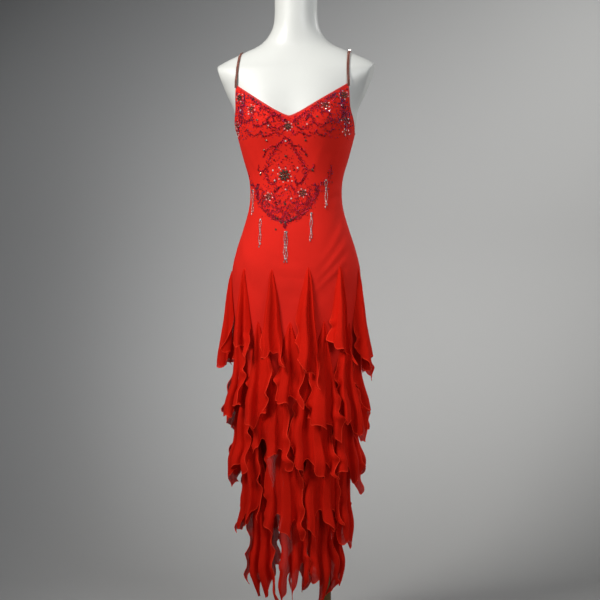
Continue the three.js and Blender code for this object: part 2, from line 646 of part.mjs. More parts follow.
function add(name, geometry, finish) {
  const mesh = new THREE.Mesh(geometry, new THREE.MeshStandardMaterial(finish));
  mesh.name = name;
  gown.add(mesh);
}

add("form_torso", torsoGeometry(wasm), WHITE);
add("stand_rod", rodGeometry(), GOLD);
add("stand_base", baseGeometry(), STEEL);
add("gown_front", wall(FRONT_GRID.columns, FRONT_GRID.rows, frontFace), RED);
add("gown_back", wall(BACK_GRID.columns, BACK_GRID.rows, backFace), RED);
add("strap_left", strapGeometry(1), BEADS);
add("strap_right", strapGeometry(-1), BEADS);

TIER_PIECES.forEach((pieces, tier) => {
  const kind = tier === 0 ? "godet" : "flounce";
  pieces.forEach((piece, k) => {
    const columns = Math.round(COLUMNS_PER_FLUTE * piece.flutes);
    const sheet = flounceSheet(tier, piece);
    const name = `${kind}_${tier + 1}_${String(k + 1).padStart(2, "0")}`;
    add(name, thickSheet(columns, GODET_ROWS, CLOTH, sheet), RED);
  });
});

for (const tassel of TASSELS) add(tassel.name, tasselGeometry(wasm, tassel), BEADS);
for (const flower of GEM_FLOWERS) add(flower.name, flowerGeometry(flower), BRONZE);

export default gown;
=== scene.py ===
import math

import bpy
import numpy as np
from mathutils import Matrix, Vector


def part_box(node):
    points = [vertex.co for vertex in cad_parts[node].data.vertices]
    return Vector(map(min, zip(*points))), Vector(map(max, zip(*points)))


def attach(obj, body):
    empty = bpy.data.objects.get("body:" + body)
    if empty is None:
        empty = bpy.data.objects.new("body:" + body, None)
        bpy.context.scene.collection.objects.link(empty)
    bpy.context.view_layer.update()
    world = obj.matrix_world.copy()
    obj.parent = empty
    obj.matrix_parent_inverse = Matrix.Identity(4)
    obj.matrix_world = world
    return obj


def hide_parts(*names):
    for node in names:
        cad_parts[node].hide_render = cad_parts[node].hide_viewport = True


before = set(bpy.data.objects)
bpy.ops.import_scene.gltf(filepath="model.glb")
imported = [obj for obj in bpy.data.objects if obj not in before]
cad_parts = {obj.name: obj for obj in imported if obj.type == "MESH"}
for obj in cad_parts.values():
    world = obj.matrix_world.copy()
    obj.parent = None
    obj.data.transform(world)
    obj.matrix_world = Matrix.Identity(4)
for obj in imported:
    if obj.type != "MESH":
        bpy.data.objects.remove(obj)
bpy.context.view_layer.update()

# Camera. It stands level with the hip, well back, and a little to the wearer's left of the
# middle, as in the photograph. The whole gown and the neck of the form fill the picture.
CAMERA_TURN = math.radians(8)
CAMERA_AWAY = 3.8
CAMERA_HEIGHT = 0.833
PICTURE_WIDTH = 1.47
AIM_ASIDE = 0.0098
SENSOR_WIDTH = 36

camera_data = bpy.data.cameras.new("camera")
camera_data.sensor_width = SENSOR_WIDTH
camera_data.lens = camera_data.sensor_width * CAMERA_AWAY / PICTURE_WIDTH
camera = bpy.data.objects.new("camera", camera_data)
bpy.context.scene.collection.objects.link(camera)
camera_back = Vector((math.sin(CAMERA_TURN), -math.cos(CAMERA_TURN), 0))
camera_side = Vector((math.cos(CAMERA_TURN), math.sin(CAMERA_TURN), 0))
camera_aim = camera_side * AIM_ASIDE + Vector((0, 0, CAMERA_HEIGHT))
camera.location = camera_aim + camera_back * CAMERA_AWAY
camera.rotation_euler = (math.pi / 2, 0, CAMERA_TURN)
bpy.context.scene.camera = camera
bpy.context.scene.view_settings.view_transform = "Standard"

# Dress form. A moulded, smooth white torso with a cut neck and flat arm plates. It is made
# as stacked sections, and the gown is worked out from the same sections. Sizes of the body
# and the cloth are in millimetres, and MM turns them into metres.
MM = 0.001
FORM_FOOT_Z = 760
NECK_TOP_Z = 1588
FORM_RISE = 28.5
BUST_RISE = 31
BUST_X, BUST_Z = 74, 1264
BUST_ACROSS, BUST_UPRIGHT, BUST_FACING = 50, 54, 0.6
ARM_PLATE_X, ARM_PLATE_Z, ARM_PLATE_SLOPE = 156, 1300, 0.34

# Columns: height, half width, depth to the front, depth to the back, squareness
SECTIONS = np.array([
    (40, 74, 58, 62, 2),
    (150, 84, 66, 70, 2),
    (300, 99, 75, 80, 2),
    (420, 113, 82, 90, 2),
    (520, 123, 87, 97, 2),
    (640, 134, 91, 103, 2),
    (760, 147, 95, 110, 2),
    (840, 154, 98, 115, 2),
    (905, 154, 99, 117, 2.05),
    (955, 143, 96, 111, 2.05),
    (1004, 127, 91, 98, 2.05),
    (1053, 113, 86, 85, 2.05),
    (1090, 109, 84, 81, 2.05),
    (1130, 112, 85, 84, 2.1),
    (1176, 125, 88, 91, 2.15),
    (1225, 138, 91, 96, 2.25),
    (1262, 147, 92, 98, 2.3),
    (1300, 153, 90, 97, 2.35),
    (1350, 180, 83, 94, 2.35),
    (1392, 212, 72, 86, 2.3),
    (1412, 186, 64, 78, 2.2),
    (1436, 136, 56, 69, 2.1),
    (1456, 92, 51, 62, 2),
    (1480, 67, 49, 56, 2),
    (1512, 54, 49, 53, 2),
    (1588, 52, 50, 52, 2),
])


def smooth_rows(table, z):
    """Smooth values of a table's columns at heights z, through its rows."""
    heights = table[:, 0]
    last = len(heights) - 1
    z = np.clip(z, heights[0], heights[-1])
    low = np.clip(np.searchsorted(heights, z) - 1, 0, last - 1)
    span = (heights[low + 1] - heights[low])[..., None]
    t = (z - heights[low])[..., None] / span

    def slope(k):
        before, after = np.maximum(k - 1, 0), np.minimum(k + 1, last)
        gap = (heights[after] - heights[before])[..., None]
        return (table[after, 1:] - table[before, 1:]) / gap

    rise = (table[low + 1, 1:] - table[low, 1:]) * (3 * t**2 - 2 * t**3)
    bends = (t**3 - 2 * t**2 + t) * slope(low) + (t**3 - t**2) * slope(low + 1)
    values = table[low, 1:] + rise + bends * span
    return [values[..., k] for k in range(values.shape[-1])]


def signed_power(value, power):
    return np.sign(value) * np.abs(value) ** power


def smoothstep(value, low, high):
    t = np.clip((value - low) / (high - low), 0, 1)
    return t * t * (3 - 2 * t)


def bell(value):
    return np.exp(-0.5 * value**2)


def body_point(turn, z, out, rise=BUST_RISE):
    """Points out millimetres outside the form, at turns round the body in degrees. 0 is the
    middle of the front and 90 the wearer's left side."""
    turn, z, out = np.broadcast_arrays(
        np.radians(turn), np.asarray(z, float), np.asarray(out, float)
    )
    half, front, back, power = smooth_rows(SECTIONS, z)
    toward = np.cos(turn)
    depth = np.where(toward > 0, front, back)
    x = half * signed_power(np.sin(turn), 2 / power)
    y = -depth * signed_power(toward, 2 / power)
    normal_x = signed_power(x / half, power - 1) / half
    normal_y = signed_power(y / depth, power - 1) / depth
    length = np.hypot(normal_x, normal_y)
    upright = bell((z - BUST_Z) / BUST_UPRIGHT)
    sides = bell((x + BUST_X) / BUST_ACROSS) + bell((x - BUST_X) / BUST_ACROSS)
    bust = rise * upright * sides * smoothstep(toward, 0, BUST_FACING)
    plate = ARM_PLATE_X + np.maximum(z - ARM_PLATE_Z, 0) * ARM_PLATE_SLOPE + out
    wide = x + out * normal_x / length
    wide = np.where(z > ARM_PLATE_Z, np.clip(wide, -plate, plate), wide)
    return np.stack([wide, y + out * normal_y / length - bust, z], -1)


def make_piece(name, points, faces, uvs=None, smooth=True):
    """A mesh object from points in millimetres and a list of faces, with its UVs in metres."""
    mesh = bpy.data.meshes.new(name)
    mesh.from_pydata((points * MM).tolist(), [], faces)
    if uvs is not None:
        layer = mesh.uv_layers.new(name="UVMap")
        corners = np.empty(len(mesh.loops), dtype=np.int32)
        mesh.loops.foreach_get("vertex_index", corners)
        layer.data.foreach_set("uv", (uvs[corners] * MM).ravel())
    mesh.polygons.foreach_set("use_smooth", [smooth] * len(mesh.polygons))
    mesh.update()
    piece = bpy.data.objects.new(name, mesh)
    bpy.context.scene.collection.objects.link(piece)
    return piece


def grid_faces(rows, columns, start=0, closed=False):
    """Quads of a grid of points, row after row. Their normals are across x upward."""
    j = np.arange(rows - 1)[:, None]
    i = np.arange(columns if closed else columns - 1)[None, :]
    after = (i + 1) % columns
    quads = [j * columns + i, j * columns + after, (j + 1) * columns + after, (j + 1) * columns + i]
    return np.stack(quads, -1).reshape(-1, 4) + start


def new_material(name, colour, roughness, **sockets):
    """A material with one Principled BSDF, and values set on its own sockets."""
    material = bpy.data.materials.new(name)
    material.use_nodes = True
    material.diffuse_color = (*colour, 1)
    shader = material.node_tree.nodes["Principled BSDF"]
    shader.inputs["Base Color"].default_value = (*colour, 1)
    shader.inputs["Roughness"].default_value = roughness
    for socket, value in sockets.items():
        shader.inputs[socket.replace("_", " ")].default_value = value
    return material, shader


def place_node(tree, kind, **values):
    """A node, with properties in lower case and its sockets' values by number."""
    node = tree.nodes.new(kind)
    for key, value in values.items():
        if key.startswith("input_"):
            node.inputs[int(key[6:])].default_value = value
        else:
            setattr(node, key, value)
    return node


def new_group(name, inputs, outputs):
    """An empty shader group with float inputs, but for Vector, and float outputs."""
    group = bpy.data.node_groups.new(name, "ShaderNodeTree")
    for socket, value in inputs.items():
        kind = "NodeSocketVector" if value is None else "NodeSocketFloat"
        made = group.interface.new_socket(socket, in_out="INPUT", socket_type=kind)
        if value is not None:
            made.default_value = value
    for socket in outputs:
        group.interface.new_socket(socket, in_out="OUTPUT", socket_type="NodeSocketFloat")
    return group, group.nodes.new("NodeGroupInput"), group.nodes.new("NodeGroupOutput")


def join(tree, *links):
    """Links nodes: each row has a node, its output, the next node, and that node's input."""
    for source, output, target, socket in links:
        tree.links.new(source.outputs[output], target.inputs[socket])


# Soft unevenness of a surface: a shade between two values, in cloudy patches. On the bronze
# stones the patches are painted glints and dark reflections
mottle, mottle_in, mottle_out = new_group(
    "mottle", {"Vector": None, "Scale": 20.0, "Dark": 0.85, "Light": 1.0}, ["Shade", "Height"]
)
mottle_noise = place_node(mottle, "ShaderNodeTexNoise")
mottle_noise.inputs["Detail"].default_value = 5
mottle_range = place_node(mottle, "ShaderNodeMapRange", input_1=0.3, input_2=0.7)
join(
    mottle,
    (mottle_in, "Vector", mottle_noise, "Vector"),
    (mottle_in, "Scale", mottle_noise, "Scale"),
    (mottle_noise, "Fac", mottle_range, 0),
    (mottle_in, "Dark", mottle_range, 3),
    (mottle_in, "Light", mottle_range, 4),
    (mottle_range, 0, mottle_out, "Shade"),
    (mottle_noise, "Fac", mottle_out, "Height"),
)


# Depth in metres of the relief that a full bump stands for
RELIEF_DEPTH = 0.0002


def shade_colour(material, shader, colour, group, coordinate, bump=0.0, **inputs):
    """Multiplies a colour by a group's Shade, and bumps the surface by its Height."""
    tree = material.node_tree
    coordinates = tree.nodes.new("ShaderNodeTexCoord")
    effect = tree.nodes.new("ShaderNodeGroup")
    effect.node_tree = group
    for socket, value in inputs.items():
        effect.inputs[socket].default_value = value
    tint = place_node(
        tree, "ShaderNodeMix", data_type="RGBA", blend_type="MULTIPLY", input_0=1,
        input_6=(*colour, 1),
    )
    join(
        tree,
        (coordinates, coordinate, effect, "Vector"),
        (effect, "Shade", tint, 7),
        (tint, 2, shader, "Base Color"),
    )
    if bump:
        relief = place_node(tree, "ShaderNodeBump")
        relief.inputs["Strength"].default_value = bump
        relief.inputs["Distance"].default_value = RELIEF_DEPTH
        join(tree, (effect, "Height", relief, "Height"), (relief, "Normal", shader, "Normal"))
    return effect


def mottled_material(name, colour, roughness, bump, scale, dark, light, **sockets):
    """A material whose colour is shaded in cloudy patches, from dark to light times itself."""
    material, shader = new_material(name, colour, roughness, **sockets)
    cloudy = {"Scale": scale, "Dark": dark, "Light": light}
    shade_colour(material, shader, colour, mottle, "Object", bump, **cloudy)
    return material


FORM_COLUMNS = 128
FOOT_EDGE, FOOT_TUCK = 6, 9
NECK_EDGE, NECK_TUCK = 3, 3
form_heights = np.concatenate([
    np.linspace(FORM_FOOT_Z + FOOT_EDGE, 1380, 90),
    np.linspace(1384, 1480, 30),
    np.linspace(1486, NECK_TOP_Z - NECK_EDGE, 14),
])
form_turns = np.arange(FORM_COLUMNS) * 360 / FORM_COLUMNS
form_rings = body_point(form_turns[None, :], form_heights[:, None], 0, FORM_RISE)
foot_rim = body_point(form_turns, FORM_FOOT_Z, -FOOT_TUCK, FORM_RISE)
neck_rim = body_point(form_turns, NECK_TOP_Z, -NECK_TUCK, FORM_RISE)
form_points = np.concatenate([foot_rim[None], form_rings, neck_rim[None]]).reshape(-1, 3)
form_faces = grid_faces(len(form_heights) + 2, FORM_COLUMNS, closed=True).tolist()
form_faces.append(list(range(FORM_COLUMNS))[::-1])
form_faces.append([len(form_points) - FORM_COLUMNS + k for k in range(FORM_COLUMNS)])
dress_form = make_piece("dress_form", form_points, form_faces)
bpy.ops.object.select_all(action="DESELECT")
dress_form.select_set(True)
bpy.context.view_layer.objects.active = dress_form
bpy.ops.object.shade_smooth_by_angle(angle=math.radians(50))

form_white = mottled_material(
    "form_white", (0.63, 0.64, 0.61), 0.46, 0.08, 9, 0.95, 1, Coat_Weight=0.12
)
dress_form.data.materials.append(form_white)
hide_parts("form_torso")
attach(dress_form, "root")

# Rod of the stand. A steel tube, lacquered gold and darkened by age, which runs from the
# base up into the torso's socket. It is cut to length, with its ends eased.
ROD_RADIUS = 0.011
FACING = 0.9
SHARP_EDGE = math.radians(35)


def select_faces(piece, picked):
    """Goes to edit mode with only the faces selected whose normals a test picks."""
    bpy.ops.object.mode_set(mode="EDIT")
    bpy.ops.mesh.select_mode(type="FACE")
    bpy.ops.mesh.select_all(action="DESELECT")
    bpy.ops.object.mode_set(mode="OBJECT")
    for face in piece.data.polygons:
        face.select = picked(face.normal)
    bpy.ops.object.mode_set(mode="EDIT")


def ease_edges(piece, width, segments):
    """Leaves edit mode, rounds a piece's sharp edges and shades it by angle."""
    bpy.ops.object.mode_set(mode="OBJECT")
    ease = piece.modifiers.new("ease", "BEVEL")
    ease.width = width
    ease.segments = segments
    ease.limit_method = "ANGLE"
    bpy.ops.object.modifier_apply(modifier="ease")
    bpy.ops.object.transform_apply(location=True, rotation=True, scale=True)
    bpy.ops.object.shade_smooth_by_angle(angle=SHARP_EDGE)


rod_low, rod_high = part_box("stand_rod")
rod_middle = (Vector(rod_low) + Vector(rod_high)) / 2
rod_length = rod_high[2] - rod_low[2]
bpy.ops.object.select_all(action="DESELECT")
bpy.ops.mesh.primitive_cylinder_add(
    vertices=64, radius=ROD_RADIUS, depth=rod_length, location=rod_middle
)
rod = bpy.context.active_object
rod.name = "rod"
select_faces(rod, lambda normal: abs(normal.z) > FACING)
bpy.ops.mesh.inset(thickness=0.003)
ease_edges(rod, 0.0008, 3)

rod_gold = mottled_material(
    "rod_gold", (0.23, 0.13, 0.035), 0.33, 0.15, 38, 0.45, 1.1, Metallic=0.85, Coat_Weight=0.4
)
rod.data.materials.append(rod_gold)
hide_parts("stand_rod")
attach(rod, "root")

# Base of the stand. A turned steel disc, satin grey, with a rounded top edge and a fine
# turned step near its rim. The rod stands on it.
base_low, base_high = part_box("stand_base")
base_radius = (base_high[0] - base_low[0]) / 2
base_thick = base_high[2] - base_low[2]
bpy.ops.object.select_all(action="DESELECT")
bpy.ops.mesh.primitive_cylinder_add(
    vertices=128, radius=base_radius, depth=base_thick, location=(0, 0, base_thick / 2)
)
base = bpy.context.active_object
base.name = "base"
select_faces(base, lambda normal: normal.z > FACING)
bpy.ops.mesh.inset(thickness=0.012)
bpy.ops.transform.translate(value=(0, 0, -0.0012))
bpy.ops.mesh.inset(thickness=0.004)
bpy.ops.transform.translate(value=(0, 0, 0.0009))
ease_edges(base, 0.002, 4)

base_steel = mottled_material(
    "base_steel", (0.3, 0.3, 0.29), 0.36, 0.1, 26, 0.8, 1.05, Metallic=0.9
)
base.data.materials.append(base_steel)
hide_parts("stand_base")
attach(base, "root")

# Front panel. One piece of red stretch mesh from the V neck to below the hip. It is shaped
# by stretch over the bust, and sewn to the back at the sides. It pulls into slanting folds
# over the hip and short ones at the waist.
EASE = 2.2
CLOTH = 1.2
SEAM = 0.3
PANEL_OUT = EASE + CLOTH
PANEL_WALL = 1.0
PANEL_HEM_Z = 520
SIDE_TOP_Z = 1238
STRAP_Z, STRAP_AT = 1352, 45
V_Z = 1271
BACK_STRAP_Z, BACK_STRAP_AT = 1252, 142
BACK_LOW_Z = 1170
SEAM_RADIUS = 81
SEAM_TURN = math.degrees(SEAM / 2 / SEAM_RADIUS)
SKIN_PER_DEGREE = 2.3
DEEPEST = 1.5
CREASE_BOW = 0.05

# Columns: turn and height of one end, turn and height of the other, width, height (a
# trough is negative)
FRONT_CREASES = (
    (74, 1046, 30, 936, 11, -1.6),
    (74, 1022, 24, 906, 9, 1.3),
    (72, 1002, 22, 890, 8, -1.9),
    (68, 976, 26, 886, 7, 1.1),
    (66, 958, 22, 862, 7, -2.0),
    (60, 936, 26, 858, 6, 0.9),
    (58, 916, 22, 834, 7, -1.9),
    (46, 888, 20, 816, 7, -1.5),
    (40, 862, 10, 790, 9, -1.4),
    (-72, 1006, -34, 908, 13, 0.9),
    (-68, 968, -40, 880, 12, -1.1),
    (-58, 930, -30, 846, 12, -0.9),
    (-30, 868, -12, 770, 12, -1.2),
    (4, 868, -8, 744, 12, -1.1),
    (30, 850, 44, 742, 11, -1.2),
    (-78, 1094, -46, 1085, 6, 0.8),
    (-76, 1077, -52, 1071, 5, -0.9),
    (-80, 1060, -56, 1058, 5, 0.6),
    (80, 1100, 48, 1088, 6, 0.9),
    (78, 1082, 50, 1075, 5, -1.0),
    (80, 1064, 56, 1060, 6, 0.7),
    (-36, 1212, -28, 1124, 13, 0.8),
    (36, 1214, 26, 1122, 13, 0.8),
    (-66, 1208, -48, 1130, 10, -0.8),
    (68, 1206, 50, 1134, 10, -0.8),
    (-60, 1268, -38, 1330, 9, -0.7),
    (60, 1268, 38, 1330, 9, -0.7),
    (-20, 936, 18, 926, 6, -0.6),
    (-18, 914, 16, 906, 6, 0.5),
    (-14, 892, 20, 884, 6, -0.7),
    (-12, 868, 18, 862, 6, 0.5),
    (-6, 846, 22, 838, 6, -0.6),
)


def crease_height(creases, turn, z):
    """Height of soft ridges and troughs, each strongest at its middle."""
    total = np.zeros(np.broadcast(turn, z).shape)
    across = turn * SKIN_PER_DEGREE
    for turn_a, z_a, turn_b, z_b, width, height in creases:
        along_s = (turn_b - turn_a) * SKIN_PER_DEGREE
        along_z = z_b - z_a
        length = math.hypot(along_s, along_z)
        ahead_s, ahead_z = across - turn_a * SKIN_PER_DEGREE, z - z_a
        share = (ahead_s * along_s + ahead_z * along_z) / length**2
        bow = CREASE_BOW * length * np.sin(np.pi * np.clip(share, 0, 1))
        aside = (ahead_s * along_z - ahead_z * along_s) / length - bow
        taper = smoothstep(share, -0.12, 0.3) * (1 - smoothstep(share, 0.7, 1.12))
        total += height * taper * np.exp(-((aside / width) ** 2))
    return np.where(total < 0, DEEPEST * np.tanh(total / DEEPEST), total)


def front_top(turn):
    degrees = np.abs(turn)
    inner = V_Z + (STRAP_Z - V_Z) * (np.minimum(degrees, STRAP_AT) / STRAP_AT) ** 1.15
    beyond = np.clip((degrees - STRAP_AT) / (90 - STRAP_AT), 0, 1)
    outer = SIDE_TOP_Z + (STRAP_Z - SIDE_TOP_Z) * (1 - beyond) ** 1.35
    return np.where(degrees <= STRAP_AT, inner, outer)


def front_cloth(turn, z, out=0.0):
    """Points out millimetres above the front panel's face."""
    return body_point(turn, z, PANEL_OUT + crease_height(FRONT_CREASES, turn, z) + out)


def run_lengths(points, axis):
    """Length run so far along one way of a grid of points."""
    steps = np.linalg.norm(np.diff(points, axis=axis), axis=-1)
    start = np.zeros_like(np.take(steps, [0], axis=axis))
    return np.cumsum(np.concatenate([start, steps], axis=axis), axis=axis)


def make_shell(name, outer, inner, hem=None):
    """A closed cloth piece between two grids of points, with UVs along its threads. hem is a
    mask of its rolled edge, kept as an attribute."""
    rows, columns = outer.shape[:2]
    layer = rows * columns
    across = run_lengths(outer, 1)
    across = across - across[:, -1:] / 2
    flat = np.stack([across, run_lengths(outer, 0)], -1).reshape(-1, 2)
    faces = [grid_faces(rows, columns), grid_faces(rows, columns, layer)[:, ::-1]]
    i, j = np.arange(columns - 1), np.arange(rows - 1)
    top = (rows - 1) * columns
    left, right = j * columns, j * columns + columns - 1
    rims = ((i + 1, i), (top + i, top + i + 1), (left, left + columns), (right + columns, right))
    for a, b in rims:
        faces.append(np.stack([a, b, b + layer, a + layer], -1))
    points = np.concatenate([outer.reshape(-1, 3), inner.reshape(-1, 3)])
    faces = np.concatenate(faces).tolist()
    piece = make_piece(name, points, faces, np.concatenate([flat, flat]))
    if hem is not None:
        mask = piece.data.attributes.new("hem", "FLOAT", "POINT")
        mask.data.foreach_set("value", np.concatenate([hem.ravel(), hem.ravel()]))
    return piece


def make_panel(name, cloth, top, turns, rows):
    """A panel from its hem up to its top edge, and the points of its face."""
    z = PANEL_HEM_Z + (top(turns) - PANEL_HEM_Z) * np.linspace(0, 1, rows)[:, None]
    outer = cloth(turns, z)
    return make_shell(name, outer, cloth(turns, z, -PANEL_WALL)), outer


# Weave or knit of a cloth: threads that cross, counted per metre of the piece's UVs
weave, weave_in, weave_out = new_group(
    "weave", {"Vector": None, "Count": 900.0, "Dark": 0.8}, ["Shade", "Height"]
)
weave_scale = place_node(weave, "ShaderNodeVectorMath", operation="SCALE")
weave_split = place_node(weave, "ShaderNodeSeparateXYZ")
weave_x = place_node(weave, "ShaderNodeMath", operation="SINE")
weave_y = place_node(weave, "ShaderNodeMath", operation="SINE")
weave_cross = place_node(weave, "ShaderNodeMath", operation="MULTIPLY")
weave_range = place_node(weave, "ShaderNodeMapRange", input_1=-1.0, input_2=1.0, input_4=1.0)
join(
    weave,
    (weave_in, "Vector", weave_scale, 0),
    (weave_in, "Count", weave_scale, "Scale"),
    (weave_scale, 0, weave_split, 0),
    (weave_split, "X", weave_x, 0),
    (weave_split, "Y", weave_y, 0),
    (weave_x, 0, weave_cross, 0),
    (weave_y, 0, weave_cross, 1),
    (weave_cross, 0, weave_range, 0),
    (weave_in, "Dark", weave_range, 3),
    (weave_range, 0, weave_out, "Shade"),
    (weave_cross, 0, weave_out, "Height"),
)


CLOUDS_PER_METRE = 14


def cloth_material(name, colour, roughness, count, relief, patches, **sockets):
    """A cloth: its weave on the UVs, and soft patches of shade on object coordinates."""
    material, shader = new_material(name, colour, roughness, **sockets)
    effect = shade_colour(material, shader, colour, weave, "UV", relief, Count=count)
    tree = material.node_tree
    cloudy = tree.nodes.new("ShaderNodeGroup")
    cloudy.node_tree = mottle
    cloudy.inputs["Scale"].default_value = CLOUDS_PER_METRE
    cloudy.inputs["Dark"].default_value = patches
    coordinates = tree.nodes.new("ShaderNodeTexCoord")
    both = place_node(tree, "ShaderNodeMath", operation="MULTIPLY")
    tint = shader.inputs["Base Color"].links[0].from_node
    join(
        tree,
        (coordinates, "Object", cloudy, "Vector"),
        (effect, "Shade", both, 0),
        (cloudy, "Shade", both, 1),
        (both, 0, tint, 7),
    )
    return material


mesh_red = cloth_material(
    "mesh_red", (0.82, 0.018, 0.009), 0.85, 2600, 0.25, 0.92, Specular_IOR_Level=0.15
)
front_turns = np.linspace(-90 + SEAM_TURN, 90 - SEAM_TURN, 110)
gown_front, front_outer = make_panel("front_panel", front_cloth, front_top, front_turns, 170)
gown_front.data.materials.append(mesh_red)
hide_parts("gown_front")
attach(gown_front, "root")

# Back panel. The same stretch mesh in one piece, with a low round scoop. Its folds are like
# the front's: slanting over the seat, short at the waist.
BACK_CREASES = (
    (104, 1020, 150, 900, 14, 1.1),
    (106, 986, 160, 868, 13, -1.3),
    (-104, 1024, -148, 908, 14, 1.0),
    (-108, 990, -158, 862, 12, -1.3),
    (176, 1010, 184, 880, 12, -0.9),
    (112, 1094, 146, 1084, 6, 0.9),
    (110, 1076, 150, 1070, 5, -0.9),
    (-112, 1092, -148, 1086, 6, 0.8),
    (-110, 1074, -144, 1068, 5, -0.9),
    (162, 1084, 196, 1082, 6, 0.7),
    (150, 900, 168, 790, 12, -1.1),
    (-146, 892, -166, 778, 12, -1.1),
    (118, 880, 128, 760, 11, -1.0),
)


def back_top(turn):
    degrees = np.where(turn > 180, 360 - turn, turn)
    side = SIDE_TOP_Z + (BACK_STRAP_Z - SIDE_TOP_Z) * (degrees - 90) / (BACK_STRAP_AT - 90)
    scoop = smoothstep((degrees - BACK_STRAP_AT) / (180 - BACK_STRAP_AT), 0, 1)
    middle = BACK_STRAP_Z + (BACK_LOW_Z - BACK_STRAP_Z) * scoop
    return np.where(degrees <= BACK_STRAP_AT, side, middle)


def back_cloth(turn, z, out=0.0):
    """Points out millimetres above the back panel's face, for turns from 90 to 270."""
    creases = crease_height(BACK_CREASES, turn, z) + crease_height(BACK_CREASES, turn - 360, z)
    return body_point(turn, z, PANEL_OUT + creases + out)


back_turns = np.linspace(90 + SEAM_TURN, 270 - SEAM_TURN, 96)
gown_back, back_outer = make_panel("back_panel", back_cloth, back_top, back_turns, 130)
gown_back.data.materials.append(mesh_red)
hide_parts("gown_back")
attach(gown_back, "root")

# Binding of the top edge. A narrow bias strip folded over the edge of both panels and
# stitched down, a shade darker than the mesh.
BINDING_HALF, BINDING_THICK, BINDING_OVER = 2.1, 1.0, 0.6


def unit(ways):
    return ways / np.linalg.norm(ways, axis=-1, keepdims=True)


def make_tube(name, path, outward, half, thick, sides, closed=False):
    """A rounded strip along a path, flat to the surface that outward points away from."""
    if closed:
        along = np.roll(path, -1, 0) - np.roll(path, 1, 0)
    else:
        along = np.gradient(path, axis=0)
    across = np.cross(along, outward)
    across = unit(across)
    angles = np.arange(sides) / sides * 2 * np.pi
    half = np.broadcast_to(np.asarray(half, float), len(path))
    thick = np.broadcast_to(np.asarray(thick, float), len(path))
    rings = (
        path[:, None]
        + across[:, None] * (half[:, None] * np.cos(angles))[..., None]
        + outward[:, None] * (thick[:, None] * np.sin(angles))[..., None]
    )
    run = run_lengths(path[:, None], 0)[:, 0]
    flat = np.stack(np.broadcast_arrays((angles * half.mean())[None], run[:, None]), -1)
    faces = grid_faces(len(path) + closed, sides, closed=True)[:, ::-1] % (len(path) * sides)
    faces = faces.tolist()
    if not closed:
        faces.append(list(range(sides)))
        faces.append([(len(path) - 1) * sides + k for k in range(sides)][::-1])
    return make_piece(name, rings.reshape(-1, 3), faces, flat.reshape(-1, 2))


def straight_out(cloth, turn, z):
    """Directions straight out of a cloth's face."""
    round_body = cloth(turn + 0.5, z) - cloth(turn - 0.5, z)
    upward = cloth(turn, z + 1.0) - cloth(turn, z - 1.0)
    return unit(np.cross(round_body, upward))


binding_path, binding_outward = [], []
for cloth, top, start in ((front_cloth, front_top, -90), (back_cloth, back_top, 90)):
    turns = np.linspace(start, start + 180, 181)[:-1]
    z = top(turns) - BINDING_HALF * BINDING_OVER
    binding_path.append(cloth(turns, z, -PANEL_WALL / 2))
    binding_outward.append(straight_out(cloth, turns, z))
binding = make_tube(
    "neck_binding", np.concatenate(binding_path), np.concatenate(binding_outward),
    BINDING_HALF, BINDING_THICK, 12, closed=True,
)
binding_red = cloth_material("binding_red", (0.66, 0.018, 0.014), 0.6, 5200, 0.4, 0.85)
binding.data.materials.append(binding_red)
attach(binding, "root")

# Side seams. The two panels are overlocked together down each side, which leaves a narrow
# raised line from the armhole to the hem.
for side, side_name in ((1, "left"), (-1, "right")):
    seam_z = np.linspace(SIDE_TOP_Z - 6, PANEL_HEM_Z + 1, 140)
    seam_turn = np.full_like(seam_z, 90.0 * side)
    seam_path = body_point(seam_turn, seam_z, PANEL_OUT - 0.35)
    seam_outward = straight_out(lambda turn, z: body_point(turn, z, PANEL_OUT), seam_turn, seam_z)
    seam_line = make_tube(f"side_seam_{side_name}", seam_path, seam_outward, 1.1, 0.75, 8)
    seam_line.data.materials.append(mesh_red)
    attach(seam_line, "root")

# Straps. Narrow ribbons covered with strung brown beads, sewn to the peaks of the front,
# laid over the shoulders and sewn to the back. Each is a core strip with rows of beads.
STRAP_WIDTH, STRAP_THICK, STRAP_LAP, STRAP_CLEAR = 7.5, 1.8, 6, 0.6
OVER_SHOULDER_X, CREST_Z = 132, 1438
STRAP_ROWS, STRAP_ROW_GAP = 3, 2.25
STRAP_BEAD, STRAP_BEAD_LIFT = 1.15, 0.45
STRAP_CORE, CORE_INSET, CORE_THICK = (0.12, 0.03, 0.025), 0.5, 0.7


def turn_at_x(x, z, out=0.0):
    """The turn round the front at which the body reaches a distance x to the side."""
    half, _, _, power = smooth_rows(SECTIONS, np.asarray(z, float))
    share = np.minimum(np.abs(x) / (half + out), 1)
    return np.degrees(np.sign(x) * np.arcsin(share ** (power / 2)))


def strap_half(side, low, start_x, steps, behind):
    """Path of half a strap, from where it is sewn on to the shoulder, and its outward ways."""
    share = np.arange(steps) / (steps - 0.5)
    z = low + (CREST_Z - low) * (1 - (1 - share) ** 2)
    x = start_x + (OVER_SHOULDER_X - start_x) * smoothstep(share, 0, 1)
    turn = turn_at_x(x, z)
    turn = side * (180 - turn if behind else turn)
    outward = straight_out(lambda at, height: body_point(at, height, 0), turn, z)
    on_panel = 1 - smoothstep(share, 0.08, 0.22)
    out = STRAP_CLEAR + STRAP_THICK / 2 + (PANEL_OUT + SEAM - STRAP_CLEAR) * on_panel
    return body_point(turn, z, 0) + outward * out[:, None], outward


